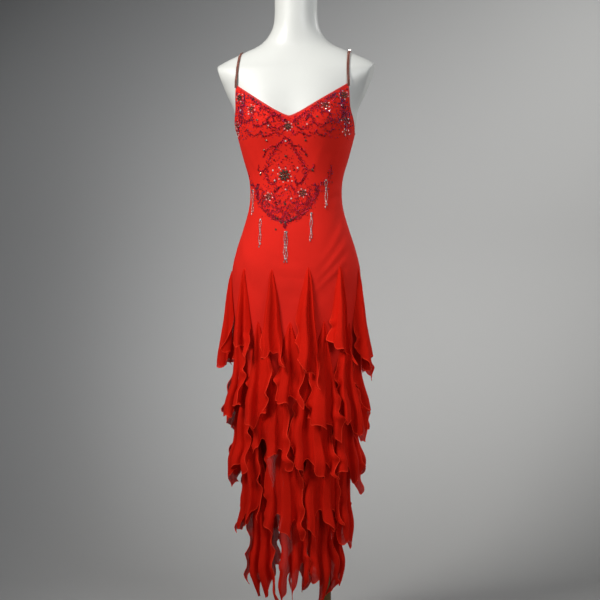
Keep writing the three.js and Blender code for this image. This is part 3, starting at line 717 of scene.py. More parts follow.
def bead_shape(columns, rings):
    """Points and faces of a small round bead of radius 1."""
    points = [(0, 0, -1)]
    for ring in range(1, rings):
        tilt = math.pi * ring / rings
        for k in range(columns):
            spin = 2 * math.pi * k / columns
            girth = math.sin(tilt)
            points.append((girth * math.cos(spin), girth * math.sin(spin), -math.cos(tilt)))
    points.append((0, 0, 1))
    faces = []
    top = len(points) - 1
    for k in range(columns):
        after = (k + 1) % columns
        faces.append((0, 1 + after, 1 + k))
        faces.append((top, top - columns + k, top - columns + after))
    for ring in range(rings - 2):
        for k in range(columns):
            after = (k + 1) % columns
            low, high = 1 + ring * columns, 1 + (ring + 1) * columns
            faces.append((low + k, low + after, high + after, high + k))
    return np.array(points), faces


def scatter(name, shape, centres, along, outward, sizes, smooth=True):
    """One mesh of many copies of a shape, each turned to its own ways and sized by (3) sizes."""
    points, shape_faces = shape
    along, outward = unit(along), unit(outward)
    across = unit(np.cross(outward, along))
    along = np.cross(across, outward)
    sizes = np.broadcast_to(np.asarray(sizes, float).reshape(-1, 3), (len(centres), 3))
    local = points[None] * sizes[:, None]
    placed = centres[:, None] + (
        along[:, None] * local[..., :1]
        + across[:, None] * local[..., 1:2]
        + outward[:, None] * local[..., 2:]
    )
    starts = range(0, len(centres) * len(points), len(points))
    faces = [[start + n for n in face] for start in starts for face in shape_faces]
    return make_piece(name, placed.reshape(-1, 3), faces, smooth=smooth)


def points_at(stops, run, points):
    """Points at given lengths along a path."""
    return np.stack([np.interp(stops, run, column) for column in points.T], -1)


seed_bead = bead_shape(6, 4)
strap_beads = mottled_material(
    "strap_beads", (0.3, 0.11, 0.075), 0.22, 0, 420, 0.35, 1.5, Metallic=0.35, Coat_Weight=0.5
)
strap_core, core_shader = new_material("strap_core", STRAP_CORE, 0.7)
shade_colour(strap_core, core_shader, STRAP_CORE, weave, "UV", 0.3, Count=5200)

strap_tops = {}
front_start_x = float(body_point(STRAP_AT, STRAP_Z, 0)[0])
back_start_x = float(body_point(BACK_STRAP_AT, BACK_STRAP_Z, 0)[0])
for side, side_name in ((1, "left"), (-1, "right")):
    front_low, back_low = STRAP_Z - STRAP_LAP, BACK_STRAP_Z - STRAP_LAP
    path_front, out_front = strap_half(side, front_low, front_start_x, 40, False)
    path_back, out_back = strap_half(side, back_low, back_start_x, 54, True)
    strap_path = np.concatenate([path_front, path_back[::-1]])
    strap_out = np.concatenate([out_front, out_back[::-1]])
    core = make_tube(
        f"strap_core_{side_name}", strap_path, strap_out, STRAP_WIDTH / 2 - CORE_INSET,
        CORE_THICK, 8,
    )
    core.data.materials.append(strap_core)
    strap_tops[side] = (path_front[-4], out_front[-4])
    run = run_lengths(strap_path[:, None], 0)[:, 0]
    stops = np.arange(1.2, run[-1] - 1, 2 * STRAP_BEAD)
    along, out = points_at(stops, run, strap_path), points_at(stops, run, strap_out)
    ahead = np.gradient(along, axis=0)
    aside = unit(np.cross(ahead, out))
    offsets = (np.arange(STRAP_ROWS) - (STRAP_ROWS - 1) / 2) * STRAP_ROW_GAP
    centres = [along + aside * offset + out * STRAP_BEAD_LIFT for offset in offsets]
    beads = scatter(
        f"strap_beads_{side_name}", seed_bead, np.concatenate(centres),
        np.tile(ahead, (STRAP_ROWS, 1)), np.tile(out, (STRAP_ROWS, 1)), (STRAP_BEAD,) * 3,
    )
    beads.data.materials.append(strap_beads)
    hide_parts(f"strap_{side_name}")
    for piece in (core, beads):
        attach(piece, "root")

# Godets and flounces. Fans of red chiffon, let in at points round the hip and hung in five
# tiers. Each has a narrow rolled hem, and falls in deep flutes.

# Columns of a tier's drape: height, how far it stands off the panels, depth of its flutes
TIER_DRAPE = (
    np.array([(610, 44, 15), (686, 36, 14), (735, 26, 12), (790, 15, 9), (850, 8, 5), (880, 5, 2.5),
              (915, 1, 0)], float),
    np.array([(470, 46, 14), (539, 43, 14), (588, 32, 13), (640, 18, 8), (686, 11, 6),
              (735, 6, 3.5), (785, 0.9, 0)], float),
    np.array([(340, 42, 12), (441, 37, 13), (490, 23, 8), (539, 18, 7), (588, 9, 4), (640, 4, 1.5),
              (695, 0.9, 0)], float),
    np.array([(230, 32, 12), (290, 30, 12), (340, 20, 8), (392, 15, 6), (441, 14, 6), (490, 8, 3),
              (539, 5, 1), (610, 0.9, 0)], float),
    np.array([(60, 2, 6), (110, 8, 8), (150, 18, 11), (190, 21, 12), (240, 9, 9), (290, 6, 8),
              (340, 1, 7), (392, -3, 7), (441, -3, 6), (480, -1, 3), (520, -0.6, 0)], float),
)
HUNG_Z = PANEL_HEM_Z - SEAM

# Columns of a piece: turn of its seam, height of its point, heights of its hem at the left
# edge, middle and right edge, how far its outer flutes hang below its inner ones, half
# spread in degrees at the hem, number of flutes
TIER_PIECES = (
    (
        (-16, 906, 706, 716, 690, 14, 11, 1.5),
        (16, 911, 730, 672, 630, 12, 13, 1.5),
        (48, 920, 738, 728, 694, 14, 12, 1.5),
        (80, 912, 720, 680, 652, 16, 13, 1.5),
        (112.5, 912, 712, 700, 664, 14, 12, 1.5),
        (146, 908, 730, 676, 640, 12, 13, 1.5),
        (180, 914, 708, 702, 672, 16, 13, 1.5),
        (-146, 908, 696, 714, 660, 12, 13, 1.5),
        (-112.5, 912, 676, 706, 690, 16, 12, 1.5),
        (-80, 904, 676, 690, 724, 14, 13, 1.5),
        (-48, 908, 738, 736, 706, 12, 12, 1.5),
    ),
    (
        (0, 780, 596, 606, 592, 16, 14, 1.5),
        (32, 782, 552, 556, 512, 22, 15, 1.5),
        (64, 778, 576, 540, 516, 24, 16, 2.5),
        (96, 776, 600, 580, 530, 24, 16, 1.5),
        (128, 780, 572, 552, 512, 20, 15, 1.5),
        (162, 782, 590, 560, 526, 22, 16, 2.5),
        (-162, 780, 556, 576, 540, 20, 16, 1.5),
        (-128, 778, 528, 570, 532, 24, 16, 2.5),
        (-96, 776, 520, 560, 576, 20, 16, 1.5),
        (-64, 780, 560, 572, 600, 18, 15, 1.5),
        (-32, 782, 572, 548, 590, 20, 15, 1.5),
    ),
    (
        (-22, 690, 500, 500, 456, 34, 23, 2.5),
        (23, 692, 470, 448, 440, 38, 23, 2.5),
        (68, 688, 470, 440, 400, 44, 23, 2.5),
        (113, 690, 460, 428, 400, 40, 23, 2.5),
        (158, 690, 476, 440, 408, 36, 23, 2.5),
        (-157, 692, 446, 458, 420, 36, 23, 1.5),
        (-112, 688, 416, 430, 456, 40, 23, 2.5),
        (-67, 690, 394, 458, 450, 36, 23, 2.5),
    ),
    (
        (-60, 602, 306, 330, 344, 50, 26, 2.5),
        (-10, 606, 330, 322, 300, 54, 25, 2.5),
        (38, 600, 310, 336, 330, 60, 25, 2.5),
        (86, 604, 300, 276, 290, 56, 25, 2.5),
        (136, 600, 320, 300, 286, 50, 26, 2.5),
        (-172, 604, 306, 330, 296, 54, 27, 2.5),
        (-114, 602, 290, 320, 306, 52, 29, 2.5),
    ),
    (
        (-44, HUNG_Z, 168, 176, 150, 70, 24, 2.5),
        (2, HUNG_Z, 170, 186, 220, 80, 20, 2.5),
        (44, HUNG_Z, 240, 164, 186, 74, 22, 2.5),
        (98, HUNG_Z, 210, 196, 180, 70, 30, 2.5),
        (164, HUNG_Z, 190, 164, 150, 66, 35, 2.5),
        (-112, HUNG_Z, 176, 200, 190, 72, 36, 2.5),
    ),
)
POINT_SPREAD, POINT_SUNK = 0.6, 1.4
FLUTE_FOLD = 1.2
UNEVEN_FLUTES = 0.35
TIP_SKEW = 0.22
EDGE_WAVE, EDGE_ASIDE, EDGE_OUT = 66, 3.3, 7.5
MEANDER, FLICK, SWAY, CURL = 1.1, 3.5, 0.035, 2.5
EARLY_WIDTH = (0.1, 1.0, 0.85, 0.75, 0.65)
TIP_DEPTH = (1.5, 1.35, 1.1, 1.0, 1.0)
SEWN_TO = (0.55, 0.3, 0.3, 0.3, 0.3)
CHIFFON_HALF = 0.22
HEM_ROLL, HEM_AT, HEM_REACH, HEM_MASK = 0.62, 0.9, 0.9, 2.4
EDGE_STEPS = (0.0, 0.5, 1.0, 1.6, 2.8, 5.0)
FLOUNCE_COLUMNS_PER_FLUTE = 24
FLOUNCE_ROWS = 46
HEM_FULLNESS = 1.6


def flounce_points(tier, row, u, v, ripple):
    """Points of a fan. u runs from 0 to 1 round the body, and v from its point to its hem."""
    at, top, left, middle, right, tip, spread_at_hem, flutes = row
    turns = math.pi * flutes
    across = 2 * u - 1
    phase = turns * (1 - across)
    edge = np.where(across < 0, left, right)
    hem = middle + (edge - middle) * np.abs(across)
    phase = phase + UNEVEN_FLUTES * np.sin(0.8 * phase + ripple[1])
    flick = FLICK * v**2 * np.sin(2.9 * phase + ripple[3])
    # Each flute's hem runs slanting to a corner on one side of its ridge
    skew = TIP_SKEW * np.sign(np.sin(ripple[2]))
    beside = (phase / (2 * np.pi) + 0.5) % 1 - 0.5
    slanted = np.where(beside < skew, (beside + 0.5) / (skew + 0.5), (0.5 - beside) / (0.5 - skew))
    pointed = 0.25 * np.cos(phase / 2) ** 2 + 0.75 * slanted**1.25
    z = top + (hem - tip * TIP_DEPTH[tier] * pointed - top) * v + flick
    off, flute = smooth_rows(TIER_DRAPE[tier], z)
    fold = FLUTE_FOLD * smoothstep(v, 0, 1) * np.sin(2 * phase) / (2 * turns)
    wide = v**0.75 * (1 + EARLY_WIDTH[tier] * smoothstep(v, 0.08, 0.4) * (1 - v))
    spread = POINT_SPREAD + (spread_at_hem - POINT_SPREAD) * wide
    sway = SWAY * v * np.sin(1.7 * phase + ripple[2])
    down = (top - z) / EDGE_WAVE * 2 * np.pi
    loose_edge = np.abs(across) ** 3 * smoothstep(v, SEWN_TO[tier] + 0.05, SEWN_TO[tier] + 0.35)
    # The free edges' waves are uneven in length and depth, and steeper on one side
    waver = down + np.sin(0.43 * down + ripple[4]) + ripple[0] + 1.9 * across
    waver = waver + 0.55 * np.sin(waver)
    loose_edge = loose_edge * (0.35 + 0.65 * np.sin(0.29 * down + ripple[1] + across) ** 2)
    turn = at + spread * (across - fold + sway) + loose_edge * EDGE_ASIDE * np.sin(waver)
    turn = turn + MEANDER * v * np.sin(0.42 * down + ripple[3])
    small = 0.2 * np.sin(2.3 * phase + ripple[0]) + 0.1 * np.sin(4.3 * phase + ripple[1])
    curl = CURL * smoothstep(v, 0.86, 1) * np.sin(phase * 1.5 + ripple[4])
    stand = off + flute * (np.cos(phase) + small * v) + curl + loose_edge * EDGE_OUT * np.cos(waver)
    if top > HUNG_Z:
        sewn = np.abs(across) ** 5 * (1 - smoothstep(v, SEWN_TO[tier], SEWN_TO[tier] + 0.45))
        stand = stand * (1 - 0.9 * sewn) - POINT_SUNK * (1 - smoothstep(v, 0.0, 0.1))
    return body_point(turn, z, PANEL_OUT + stand)


def with_edges(count, length, both):
    """Shares from 0 to 1, with close steps at the end, and at the start where both is set."""
    close = np.array(EDGE_STEPS) / length
    inner = np.linspace(close[-1] if both else 0, 1 - close[-1], count)
    ends = (1 - close[:-1])[::-1]
    return np.concatenate([close[:-1], inner, ends] if both else [inner, ends])


def make_flounce(name, tier, row, seed):
    ripple = np.random.default_rng(seed).uniform(0, 2 * np.pi, 5)
    columns = round(FLOUNCE_COLUMNS_PER_FLUTE * row[7])
    hem_width = 2 * row[6] * SKIN_PER_DEGREE * HEM_FULLNESS
    v = with_edges(FLOUNCE_ROWS, row[1] - row[3], False)
    u = with_edges(columns, hem_width, True)
    # The rows run from the hem up, so that the face points outward
    v, u = np.meshgrid(v[::-1], u, indexing="ij")
    points = flounce_points(tier, row, u, v, ripple)
    normal = unit(np.cross(np.gradient(points, axis=1), np.gradient(points, axis=0)))
    run_u, run_v = run_lengths(points, 1), run_lengths(points, 0)
    to_edge = np.minimum(np.minimum(run_u, run_u[:, -1:] - run_u), run_v)
    free = smoothstep(v, SEWN_TO[tier], SEWN_TO[tier] + 0.3)
    roll = HEM_ROLL * np.exp(-(((to_edge - HEM_AT) / HEM_REACH) ** 2)) * free
    half = (CHIFFON_HALF + roll)[..., None]
    hem = (1 - smoothstep(to_edge, HEM_MASK * 0.6, HEM_MASK)) * free
    return make_shell(name, points + normal * half, points - normal * half, hem), points


# The rolled hem is coloured a lighter, more orange red than the chiffon, and made opaque: partly
# the doubled cloth's own colour, partly a painted highlight where the edge catches light
HEM_RED_AND_HIGHLIGHT = (0.92, 0.036, 0.014)
CHIFFON_COVER = 0.8
chiffon_red = cloth_material(
    "chiffon_red", (0.86, 0.014, 0.004), 0.85, 4200, 0.12, 0.9, Specular_IOR_Level=0.08
)
chiffon_tree = chiffon_red.node_tree
chiffon_shader = chiffon_tree.nodes["Principled BSDF"]
# Over the rolled hem the colour turns to the hem's red with its painted highlight
hem_mask = place_node(chiffon_tree, "ShaderNodeAttribute", attribute_name="hem")
hem_tint_and_highlight = place_node(chiffon_tree, "ShaderNodeMix", data_type="RGBA")
hem_tint_and_highlight.inputs[7].default_value = (*HEM_RED_AND_HIGHLIGHT, 1)
join(chiffon_tree, (hem_mask, "Fac", hem_tint_and_highlight, 0))
chiffon_tree.links.new(chiffon_shader.inputs["Base Color"].links[0].from_socket, hem_tint_and_highlight.inputs[6])
join(chiffon_tree, (hem_tint_and_highlight, 2, chiffon_shader, "Base Color"))
cover = place_node(chiffon_tree, "ShaderNodeMapRange", input_3=CHIFFON_COVER, input_4=1.0)
join(
    chiffon_tree,
    (hem_mask, "Fac", cover, 0),
    (cover, 0, chiffon_shader, "Alpha"),
)

for tier, rows in enumerate(TIER_PIECES):
    for number, row in enumerate(rows, 1):
        kind = "godet" if tier == 0 else "flounce"
        node = f"{kind}_{tier + 1}_{number:02d}"
        fan, fan_points = make_flounce(f"chiffon_{node}", tier, row, 100 * tier + number)
        fan.data.materials.append(chiffon_red)
        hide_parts(node)
        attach(fan, "root")

# Large stones. Gem flowers of pointed dark bronze stones round a bright middle, each glued
# and sewn to the bodice, and single stones of bronze and clear glass round them. One stone
# is cut and copied.
bpy.ops.object.select_all(action="DESELECT")
bpy.ops.mesh.primitive_cylinder_add(vertices=10, radius=1, depth=0.6, location=(0, 0, 0.3))
stone = bpy.context.active_object
select_faces(stone, lambda normal: normal.z > FACING)
bpy.ops.transform.resize(value=(0.86, 0.86, 1), center_override=(0, 0, 0.6))
bpy.ops.mesh.extrude_region_move(TRANSFORM_OT_translate={"value": (0, 0, 0.4)})
bpy.ops.transform.resize(value=(0.55, 0.55, 1), center_override=(0, 0, 1))
bpy.ops.object.mode_set(mode="OBJECT")
bpy.ops.object.transform_apply(location=True, rotation=True, scale=True)
stone_points = np.array([tuple(vertex.co) for vertex in stone.data.vertices])
stone_faces = [tuple(face.vertices) for face in stone.data.polygons]

# Extrusion leaves points and faces in an order that changes from run to run, so they are sorted
stone_order = np.lexsort(stone_points.T)
stone_rank = np.argsort(stone_order).tolist()
stone_faces = sorted(([stone_rank[n] for n in face] for face in stone_faces), key=sorted)
stone_shape = (stone_points[stone_order], stone_faces)
bpy.data.objects.remove(stone)

# The bronze stones' colour runs from a tenth to 4.6 times itself in small cloudy patches: painted
# glints and dark reflections that stand in for their sparkle
gem_bronze = mottled_material(
    "gem_bronze", (0.14, 0.08, 0.06), 0.1, 0, 480, 0.1, 4.6, Metallic=0.85, Coat_Weight=0.25
)
# The clear stones glow weakly through their emission, which paints glints on them; they are no lamp
gem_clear_glowing = mottled_material(
    "gem_clear_glowing", (0.95, 0.9, 0.88), 0.06, 0, 900, 0.35, 1.3, Metallic=0.7, Coat_Weight=1.0,
    Emission_Color=(1, 0.86, 0.82, 1), Emission_Strength=0.3,
)

# Columns: turn and height of the middle, radius, petals
GEM_FLOWERS = {
    "gem_flower_middle": (-7, 1132, 15, 8),
    "gem_flower_right_strap": (-47, 1321, 9, 6),
    "gem_flower_left_strap": (47, 1323, 9, 6),
    "gem_flower_right_low": (-29, 1082, 9, 6),
    "gem_flower_left_low": (14, 1089, 9, 6),
}


def on_front(places, out):
    """Points on the front, from distances to the side and heights, with their outward ways."""
    turn = turn_at_x(places[:, 0], places[:, 1], PANEL_OUT)
    outward = straight_out(front_cloth, turn, places[:, 1])
    return front_cloth(turn, places[:, 1]) + outward * out, outward


def flat_ways(outward):
    """Two ways along the surface: to the wearer's left, and upward."""
    aside = unit(np.cross(outward, np.array([0.0, 0.0, -1.0])))
    return aside, np.cross(outward, aside)


def slanted_ways(outward, slant):
    """Ways along the surface, turned from the wearer's left upward by a slant in radians."""
    aside, upward = flat_ways(outward)
    return aside * np.cos(slant)[:, None] + upward * np.sin(slant)[:, None]


for node, (turn, z, radius, petals) in GEM_FLOWERS.items():
    middle = front_cloth(np.array([turn + 0.0]), np.array([z + 0.0]))
    outward = straight_out(front_cloth, np.array([turn + 0.0]), np.array([z + 0.0]))
    spin = (np.arange(petals) + 0.25) * 2 * np.pi / petals
    ways = slanted_ways(outward, spin)
    centres = middle + ways * radius * 0.64 + outward * 0.3
    outs = np.repeat(outward, petals, 0)
    petal_size = (radius * 0.36, radius * min(0.62 * 3 / petals, 0.26), radius * 0.24)
    middle_size = (radius * 0.27, radius * 0.27, radius * 0.3)
    flower = scatter(
        node.replace("gem_flower", "flower"), stone_shape,
        np.concatenate([centres, middle + outward * 0.3]),
        np.concatenate([ways, flat_ways(outward)[0]]), np.concatenate([outs, outward]),
        np.concatenate([np.repeat([petal_size], petals, 0), [middle_size]]), smooth=False,
    )
    flower.data.materials.append(gem_bronze)
    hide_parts(node)
    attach(flower, "root")

STONE_LIFT, STONE_TALL = 0.2, 2.6

# Columns: distance to the side, height, length, width, slant in degrees
BRONZE_STONES = (
    (-57, 1214, 2.8, 2.8, 0), (39, 1213, 2.8, 2.8, 0), (-64, 1192, 2.6, 2.6, 0),
    (-11, 1177, 3.4, 3.0, 0), (-14, 1063, 3.4, 3.0, 90), (-76, 1137, 5.0, 2.4, 60),
    (52, 1144, 5.0, 2.4, 120), (-34, 1029, 4.6, 2.0, 130), (-24, 1019, 5.0, 2.0, 115),
    (-13, 1018, 5.4, 2.2, 90), (1, 1023, 5.0, 2.0, 65), (12, 1031, 4.6, 2.0, 50),
    (-36, 1002, 3.0, 2.2, 90), (112, 1318, 3.4, 2.6, 40), (-118, 1306, 3.4, 2.6, 140),
    (68, 1268, 3.0, 2.6, 0), (-78, 1262, 3.0, 2.6, 0), (22, 1252, 2.8, 2.4, 0),
)
CLEAR_STONES = (
    (-10, 1212, 2.2), (-40, 1120, 2.2), (-44, 1144, 2.2), (17, 1149, 2.2), (1, 1076, 2.2),
    (-13, 1098, 1.8), (-28, 1150, 1.8), (3, 1118, 1.8), (-100, 1278, 2.0), (96, 1282, 2.0),
    (122, 1298, 2.0), (-124, 1290, 2.0), (44, 1250, 1.8), (-50, 1248, 1.8),
)

# Columns: distance to the side and height of the middle, radius, petals
SMALL_FLOWERS = (
    (-93, 1290, 8.5, 6), (87, 1296, 8.5, 6), (-3, 1246, 9, 8), (130, 1262, 7, 5),
    (130, 1236, 6, 5), (-136, 1256, 6.5, 5), (-136, 1236, 4.5, 5),
)
petal_at, petal_size, petal_slant = [], [], []
tip_at = []


def round_place(x, z, spin, away):
    return x + math.cos(spin) * away, z + math.sin(spin) * away


for x, z, radius, petals in SMALL_FLOWERS:
    for k in range(petals):
        spin = (k + 0.25) * 2 * math.pi / petals
        petal_at.append(round_place(x, z, spin, radius * 0.62))
        petal_size.append((radius * 0.36, radius * 0.24, radius * 0.26))
        petal_slant.append(spin)
        tip_at.append(round_place(x, z, spin + 0.4, radius * 1.15))
    petal_at.append((x, z))
    petal_size.append((radius * 0.28, radius * 0.28, radius * 0.32))
    petal_slant.append(0)
for turn, z, radius, petals in GEM_FLOWERS.values():
    x = float(front_cloth(turn, z)[0])
    for k in range(petals):
        tip_at.append(round_place(x, z, (k + 0.75) * 2 * math.pi / petals, radius * 1.1))


def glue_stones(name, at, outward, slant, sizes, material):
    """Cut stones on the bodice, each turned by its slant in radians."""
    ways = slanted_ways(outward, slant)
    piece = scatter(name, stone_shape, at, ways, outward, sizes, smooth=False)
    piece.data.materials.append(material)
    return piece


flower_at, flower_out = on_front(np.array(petal_at), 0.25)
small_flowers = glue_stones(
    "small_flowers", flower_at, flower_out, np.array(petal_slant), np.array(petal_size), gem_bronze
)
tip_at, tip_out = on_front(np.array(tip_at), STONE_LIFT)
tip_stones = glue_stones(
    "tip_stones", tip_at, tip_out, np.zeros(len(tip_at)), (1.5, 1.5, 1.2), gem_clear_glowing
)
stones = np.array(BRONZE_STONES, float)
stone_at, stone_out = on_front(stones, STONE_LIFT)
stone_size = np.stack([stones[:, 2], stones[:, 3], np.full(len(stones), STONE_TALL)], -1)
single_stones = glue_stones(
    "single_stones", stone_at, stone_out, np.radians(stones[:, 4]), stone_size, gem_bronze
)

# The last two clear stones stand on the wearer's left strap
clear = np.array(CLEAR_STONES, float)
clear_at, clear_out = on_front(clear, STONE_LIFT)
top_at, top_out = strap_tops[1]
clear_at = np.concatenate([clear_at, [top_at + top_out * 1.2, top_at + top_out * 1.2 - (0, 0, 7)]])
clear_out = np.concatenate([clear_out, [top_out, top_out]])
clear_size = np.concatenate([clear[:, 2], [3.4, 3.0]])[:, None] * (1, 1, 0.9)
clear_stones = glue_stones(
    "clear_stones", clear_at, clear_out, np.zeros(len(clear_at)), clear_size, gem_clear_glowing
)
for piece in (small_flowers, tip_stones, single_stones, clear_stones):
    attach(piece, "root")

# Bead embroidery. Curling stems of crimson and magenta seed beads, couched to the mesh, with
# violet ones toward the sides, and loose beads scattered between them. The gown's small
# sequins between them are not made.
CENTRE_LOW_X, CENTRE_TOP_X = -13, 3
STEM_STEP = 2.3

# Each stem has a width, and a run of points: distance from the middle line, and height. It
# is sewn on both sides of that line.
STEMS = (
    (8, ((3, 1219), (14, 1206), (26, 1190), (38, 1172), (46, 1154), (49, 1136), (43, 1119),
         (32, 1112), (24, 1118), (25, 1128))),
    (4, ((22, 1200), (34, 1200), (46, 1190), (54, 1176))),
    (4, ((48, 1150), (58, 1142), (67, 1146), (68, 1158))),
    (6, ((12, 1106), (22, 1098), (30, 1084), (28, 1070), (18, 1064), (12, 1072))),
    (12, ((70, 1112), (74, 1096), (68, 1076), (56, 1056), (40, 1038), (22, 1027), (4, 1022))),
    (6, ((58, 1096), (56, 1080), (46, 1066), (34, 1060), (20, 1050))),
    (6, ((6, 1058), (14, 1046), (26, 1042), (34, 1050))),
    (9, ((0, 1044), (6, 1030), (3, 1014), (0, 1004))),
    (6, ((74, 1102), (86, 1112), (98, 1124), (106, 1142), (110, 1158))),
    (4, ((86, 1112), (96, 1112), (108, 1118))),
    (4, ((80, 1096), (92, 1096), (102, 1102))),
    (11, ((8, 1256), (24, 1266), (44, 1279), (66, 1293), (88, 1309), (106, 1325))),
    (6, ((14, 1248), (30, 1240), (46, 1243), (56, 1256), (52, 1269), (42, 1268), (40, 1259))),
    (6, ((56, 1256), (70, 1247), (86, 1251), (95, 1266), (88, 1281), (78, 1280), (77, 1271))),
    (7, ((95, 1266), (106, 1258), (118, 1263), (124, 1280), (120, 1298), (110, 1302))),
    (10, ((131, 1240), (130, 1256), (129, 1274), (126, 1292), (121, 1310), (116, 1326))),
    (4, ((36, 1232), (48, 1223), (62, 1228), (70, 1238))),
    (4, ((66, 1236), (80, 1225), (94, 1229), (106, 1242))),
    (4, ((8, 1238), (18, 1229), (30, 1232))),
)


def smooth_path(points, step):
    """Evenly spaced points on a smooth curve through a few."""
    points = np.array(points, float)
    ends = np.concatenate([[2 * points[0] - points[1]], points, [2 * points[-1] - points[-2]]])
    t = np.linspace(0, 1, 12, endpoint=False)[:, None]
    curve = []
    for a, b, c, d in zip(ends, ends[1:], ends[2:], ends[3:]):
        curve.append(0.5 * (
            2 * b + (c - a) * t + (2 * a - 5 * b + 4 * c - d) * t**2
            + (3 * b - a - 3 * c + d) * t**3
        ))
    curve = np.concatenate([*curve, points[-1:]])
    run = run_lengths(curve[:, None], 0)[:, 0]
    stops = np.arange(0, run[-1], step)
    return points_at(stops, run, curve)


def centre_x(z):
    return CENTRE_LOW_X + (CENTRE_TOP_X - CENTRE_LOW_X) * smoothstep(z, 1190, 1262)


draw = np.random.default_rng(11)
sewn = []
for width, stem in STEMS:
    path = smooth_path(stem, STEM_STEP)
    ahead = np.gradient(path, axis=0)
    ahead = unit(ahead)
    aside = np.stack([-ahead[:, 1], ahead[:, 0]], -1)
    fullness = np.sin(np.linspace(0.12, 0.92, len(path)) * np.pi)[:, None]
    for mirror in (-1, 1):
        for _ in range(max(2, round(width * 0.55))):
            off_line = aside * draw.normal(0, 0.6 + width / 2.8, (len(path), 1)) * fullness
            placed = path + off_line + draw.normal(0, 0.8, path.shape)
            x = centre_x(placed[:, 1]) + mirror * placed[:, 0]
            sewn.append(np.stack([x, placed[:, 1]], -1))
sewn = np.concatenate(sewn)

LOOSE_BEADS = 8000
BEADED_HALF, BEADED_LOW, BEADED_HIGH = 145, 1005, 1345
BAND_LOW, BAND_TOP_GAP, BAND_FADE, BAND_SIDE = 1218, 8, 42, 98
CRESCENT_HALF, CROWN_LOW, CROWN_HIGH, CROWN_HALF = 78, 1120, 1205, 62
loose = np.stack([
    draw.uniform(-BEADED_HALF, BEADED_HALF, LOOSE_BEADS),
    draw.uniform(BEADED_LOW, BEADED_HIGH, LOOSE_BEADS),
], -1)
loose_z = loose[:, 1]
from_middle = np.abs(loose[:, 0] - centre_x(loose_z))
below_edge = front_top(turn_at_x(loose[:, 0], loose_z, PANEL_OUT)) - loose_z
band = 0.95 * np.exp(-np.maximum(below_edge - BAND_TOP_GAP, 0) / BAND_FADE)
chance = np.where(loose_z > BAND_LOW, band + 0.4 * (from_middle > BAND_SIDE), 0)
crescent = smoothstep(loose_z, BEADED_LOW, 1040) * (1 - smoothstep(loose_z, 1095, 1125))
inner = from_middle < 8 + (loose_z - BEADED_LOW) * 0.9
chance += 0.75 * crescent * inner * (from_middle < CRESCENT_HALF)
crown = (loose_z > CROWN_LOW) & (loose_z < CROWN_HIGH)
crown &= from_middle < CROWN_HALF - (loose_z - CROWN_LOW) * 0.6
loose = loose[draw.uniform(0, 1, LOOSE_BEADS) < chance + 0.22 * crown]
beaded = np.concatenate([sewn, loose])
bead_turn = turn_at_x(beaded[:, 0], beaded[:, 1], PANEL_OUT)
inside = beaded[:, 1] < front_top(bead_turn) - 5
inside &= np.abs(beaded[:, 0]) < smooth_rows(SECTIONS, beaded[:, 1])[0] - 2
beaded = beaded[inside]

side_share = np.clip((np.abs(beaded[:, 0]) - 60) / 75, 0, 1)
choice = draw.uniform(0, 1, len(beaded)) + 0.45 * side_share
LARGE_SHARE, LARGE_SIZE, BEAD_LIFT = 0.1, 1.7, 0.45
fine_bead = bead_shape(5, 3)

# Columns: least and greatest choice, colour, radius
BEAD_FINISHES = {
    "crimson_beads": (-1, 0.36, (0.34, 0.003, 0.012), 0.95),
    "magenta_beads": (0.36, 0.74, (0.4, 0.006, 0.05), 0.95),
    "plum_beads": (0.74, 1.08, (0.05, 0.003, 0.012), 1.0),
    "violet_beads": (1.08, 2, (0.08, 0.02, 0.09), 1.0),
}
for name, (low, high, colour, radius) in BEAD_FINISHES.items():
    chosen = beaded[(choice >= low) & (choice < high)]
    at, out = on_front(chosen, BEAD_LIFT)
    spin = draw.uniform(0, 2 * np.pi, len(chosen))
    size = draw.uniform(0.85, 1.2, len(chosen))[:, None] * radius * np.array([1.25, 1, 0.85])
    size *= np.where(draw.uniform(0, 1, len(chosen)) < LARGE_SHARE, LARGE_SIZE, 1)[:, None]
    beads = scatter(name, fine_bead, at, slanted_ways(out, spin), out, size)
    finish = mottled_material(
        name, colour, 0.3, 0, 600, 0.4, 1.9, Metallic=0.75, Coat_Weight=0.2
    )
    beads.data.materials.append(finish)
    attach(beads, "root")

# Bead tassels. Strands of silver-lined bugle beads with small round ones between, which
# hang straight down from a sewn head, each with a drop at its end.
BUGLE_LENGTH, BUGLE_RADIUS, BUGLE_GAP = 5.2, 0.85, 1.4
TASSEL_LIFT = 1.3
STRAND_APART, STRAND_UNEVEN, STRAND_HEAD = 3.4, 7, 5

# Columns: distance to the side, top, bottom, strands
TASSELS = {
    "tassel_middle": (-11, 998, 920, 3),
    "tassel_right_inner": (-76, 1029, 958, 2),
    "tassel_left_inner": (49, 1043, 968, 2),
    "tassel_right_outer": (-99, 1102, 1038, 2),
    "tassel_left_outer": (82, 1123, 1051, 2),
}
bpy.ops.object.select_all(action="DESELECT")
bpy.ops.mesh.primitive_cylinder_add(
    vertices=8, radius=1, depth=2, location=(0, 0, 0), rotation=(0, math.pi / 2, 0)
)
bugle = bpy.context.active_object
bpy.ops.object.transform_apply(location=True, rotation=True, scale=True)
select_faces(bugle, lambda normal: abs(normal.x) > FACING)
bpy.ops.mesh.inset(thickness=0.3)
bpy.ops.transform.resize(value=(1.08, 1, 1), center_override=(0, 0, 0))
bpy.ops.object.mode_set(mode="OBJECT")
bugle_points = np.array([tuple(vertex.co) for vertex in bugle.data.vertices])
bugle_faces = [tuple(face.vertices) for face in bugle.data.polygons]
bpy.data.objects.remove(bugle)
drop_bead = bead_shape(8, 6)

tassel_beads = mottled_material(
    "tassel_beads", (0.52, 0.35, 0.33), 0.12, 0, 260, 0.06, 2.2, Metallic=0.6, Coat_Weight=0.8
)
BUGLE_SIZE = (BUGLE_LENGTH / 2, BUGLE_RADIUS, BUGLE_RADIUS)

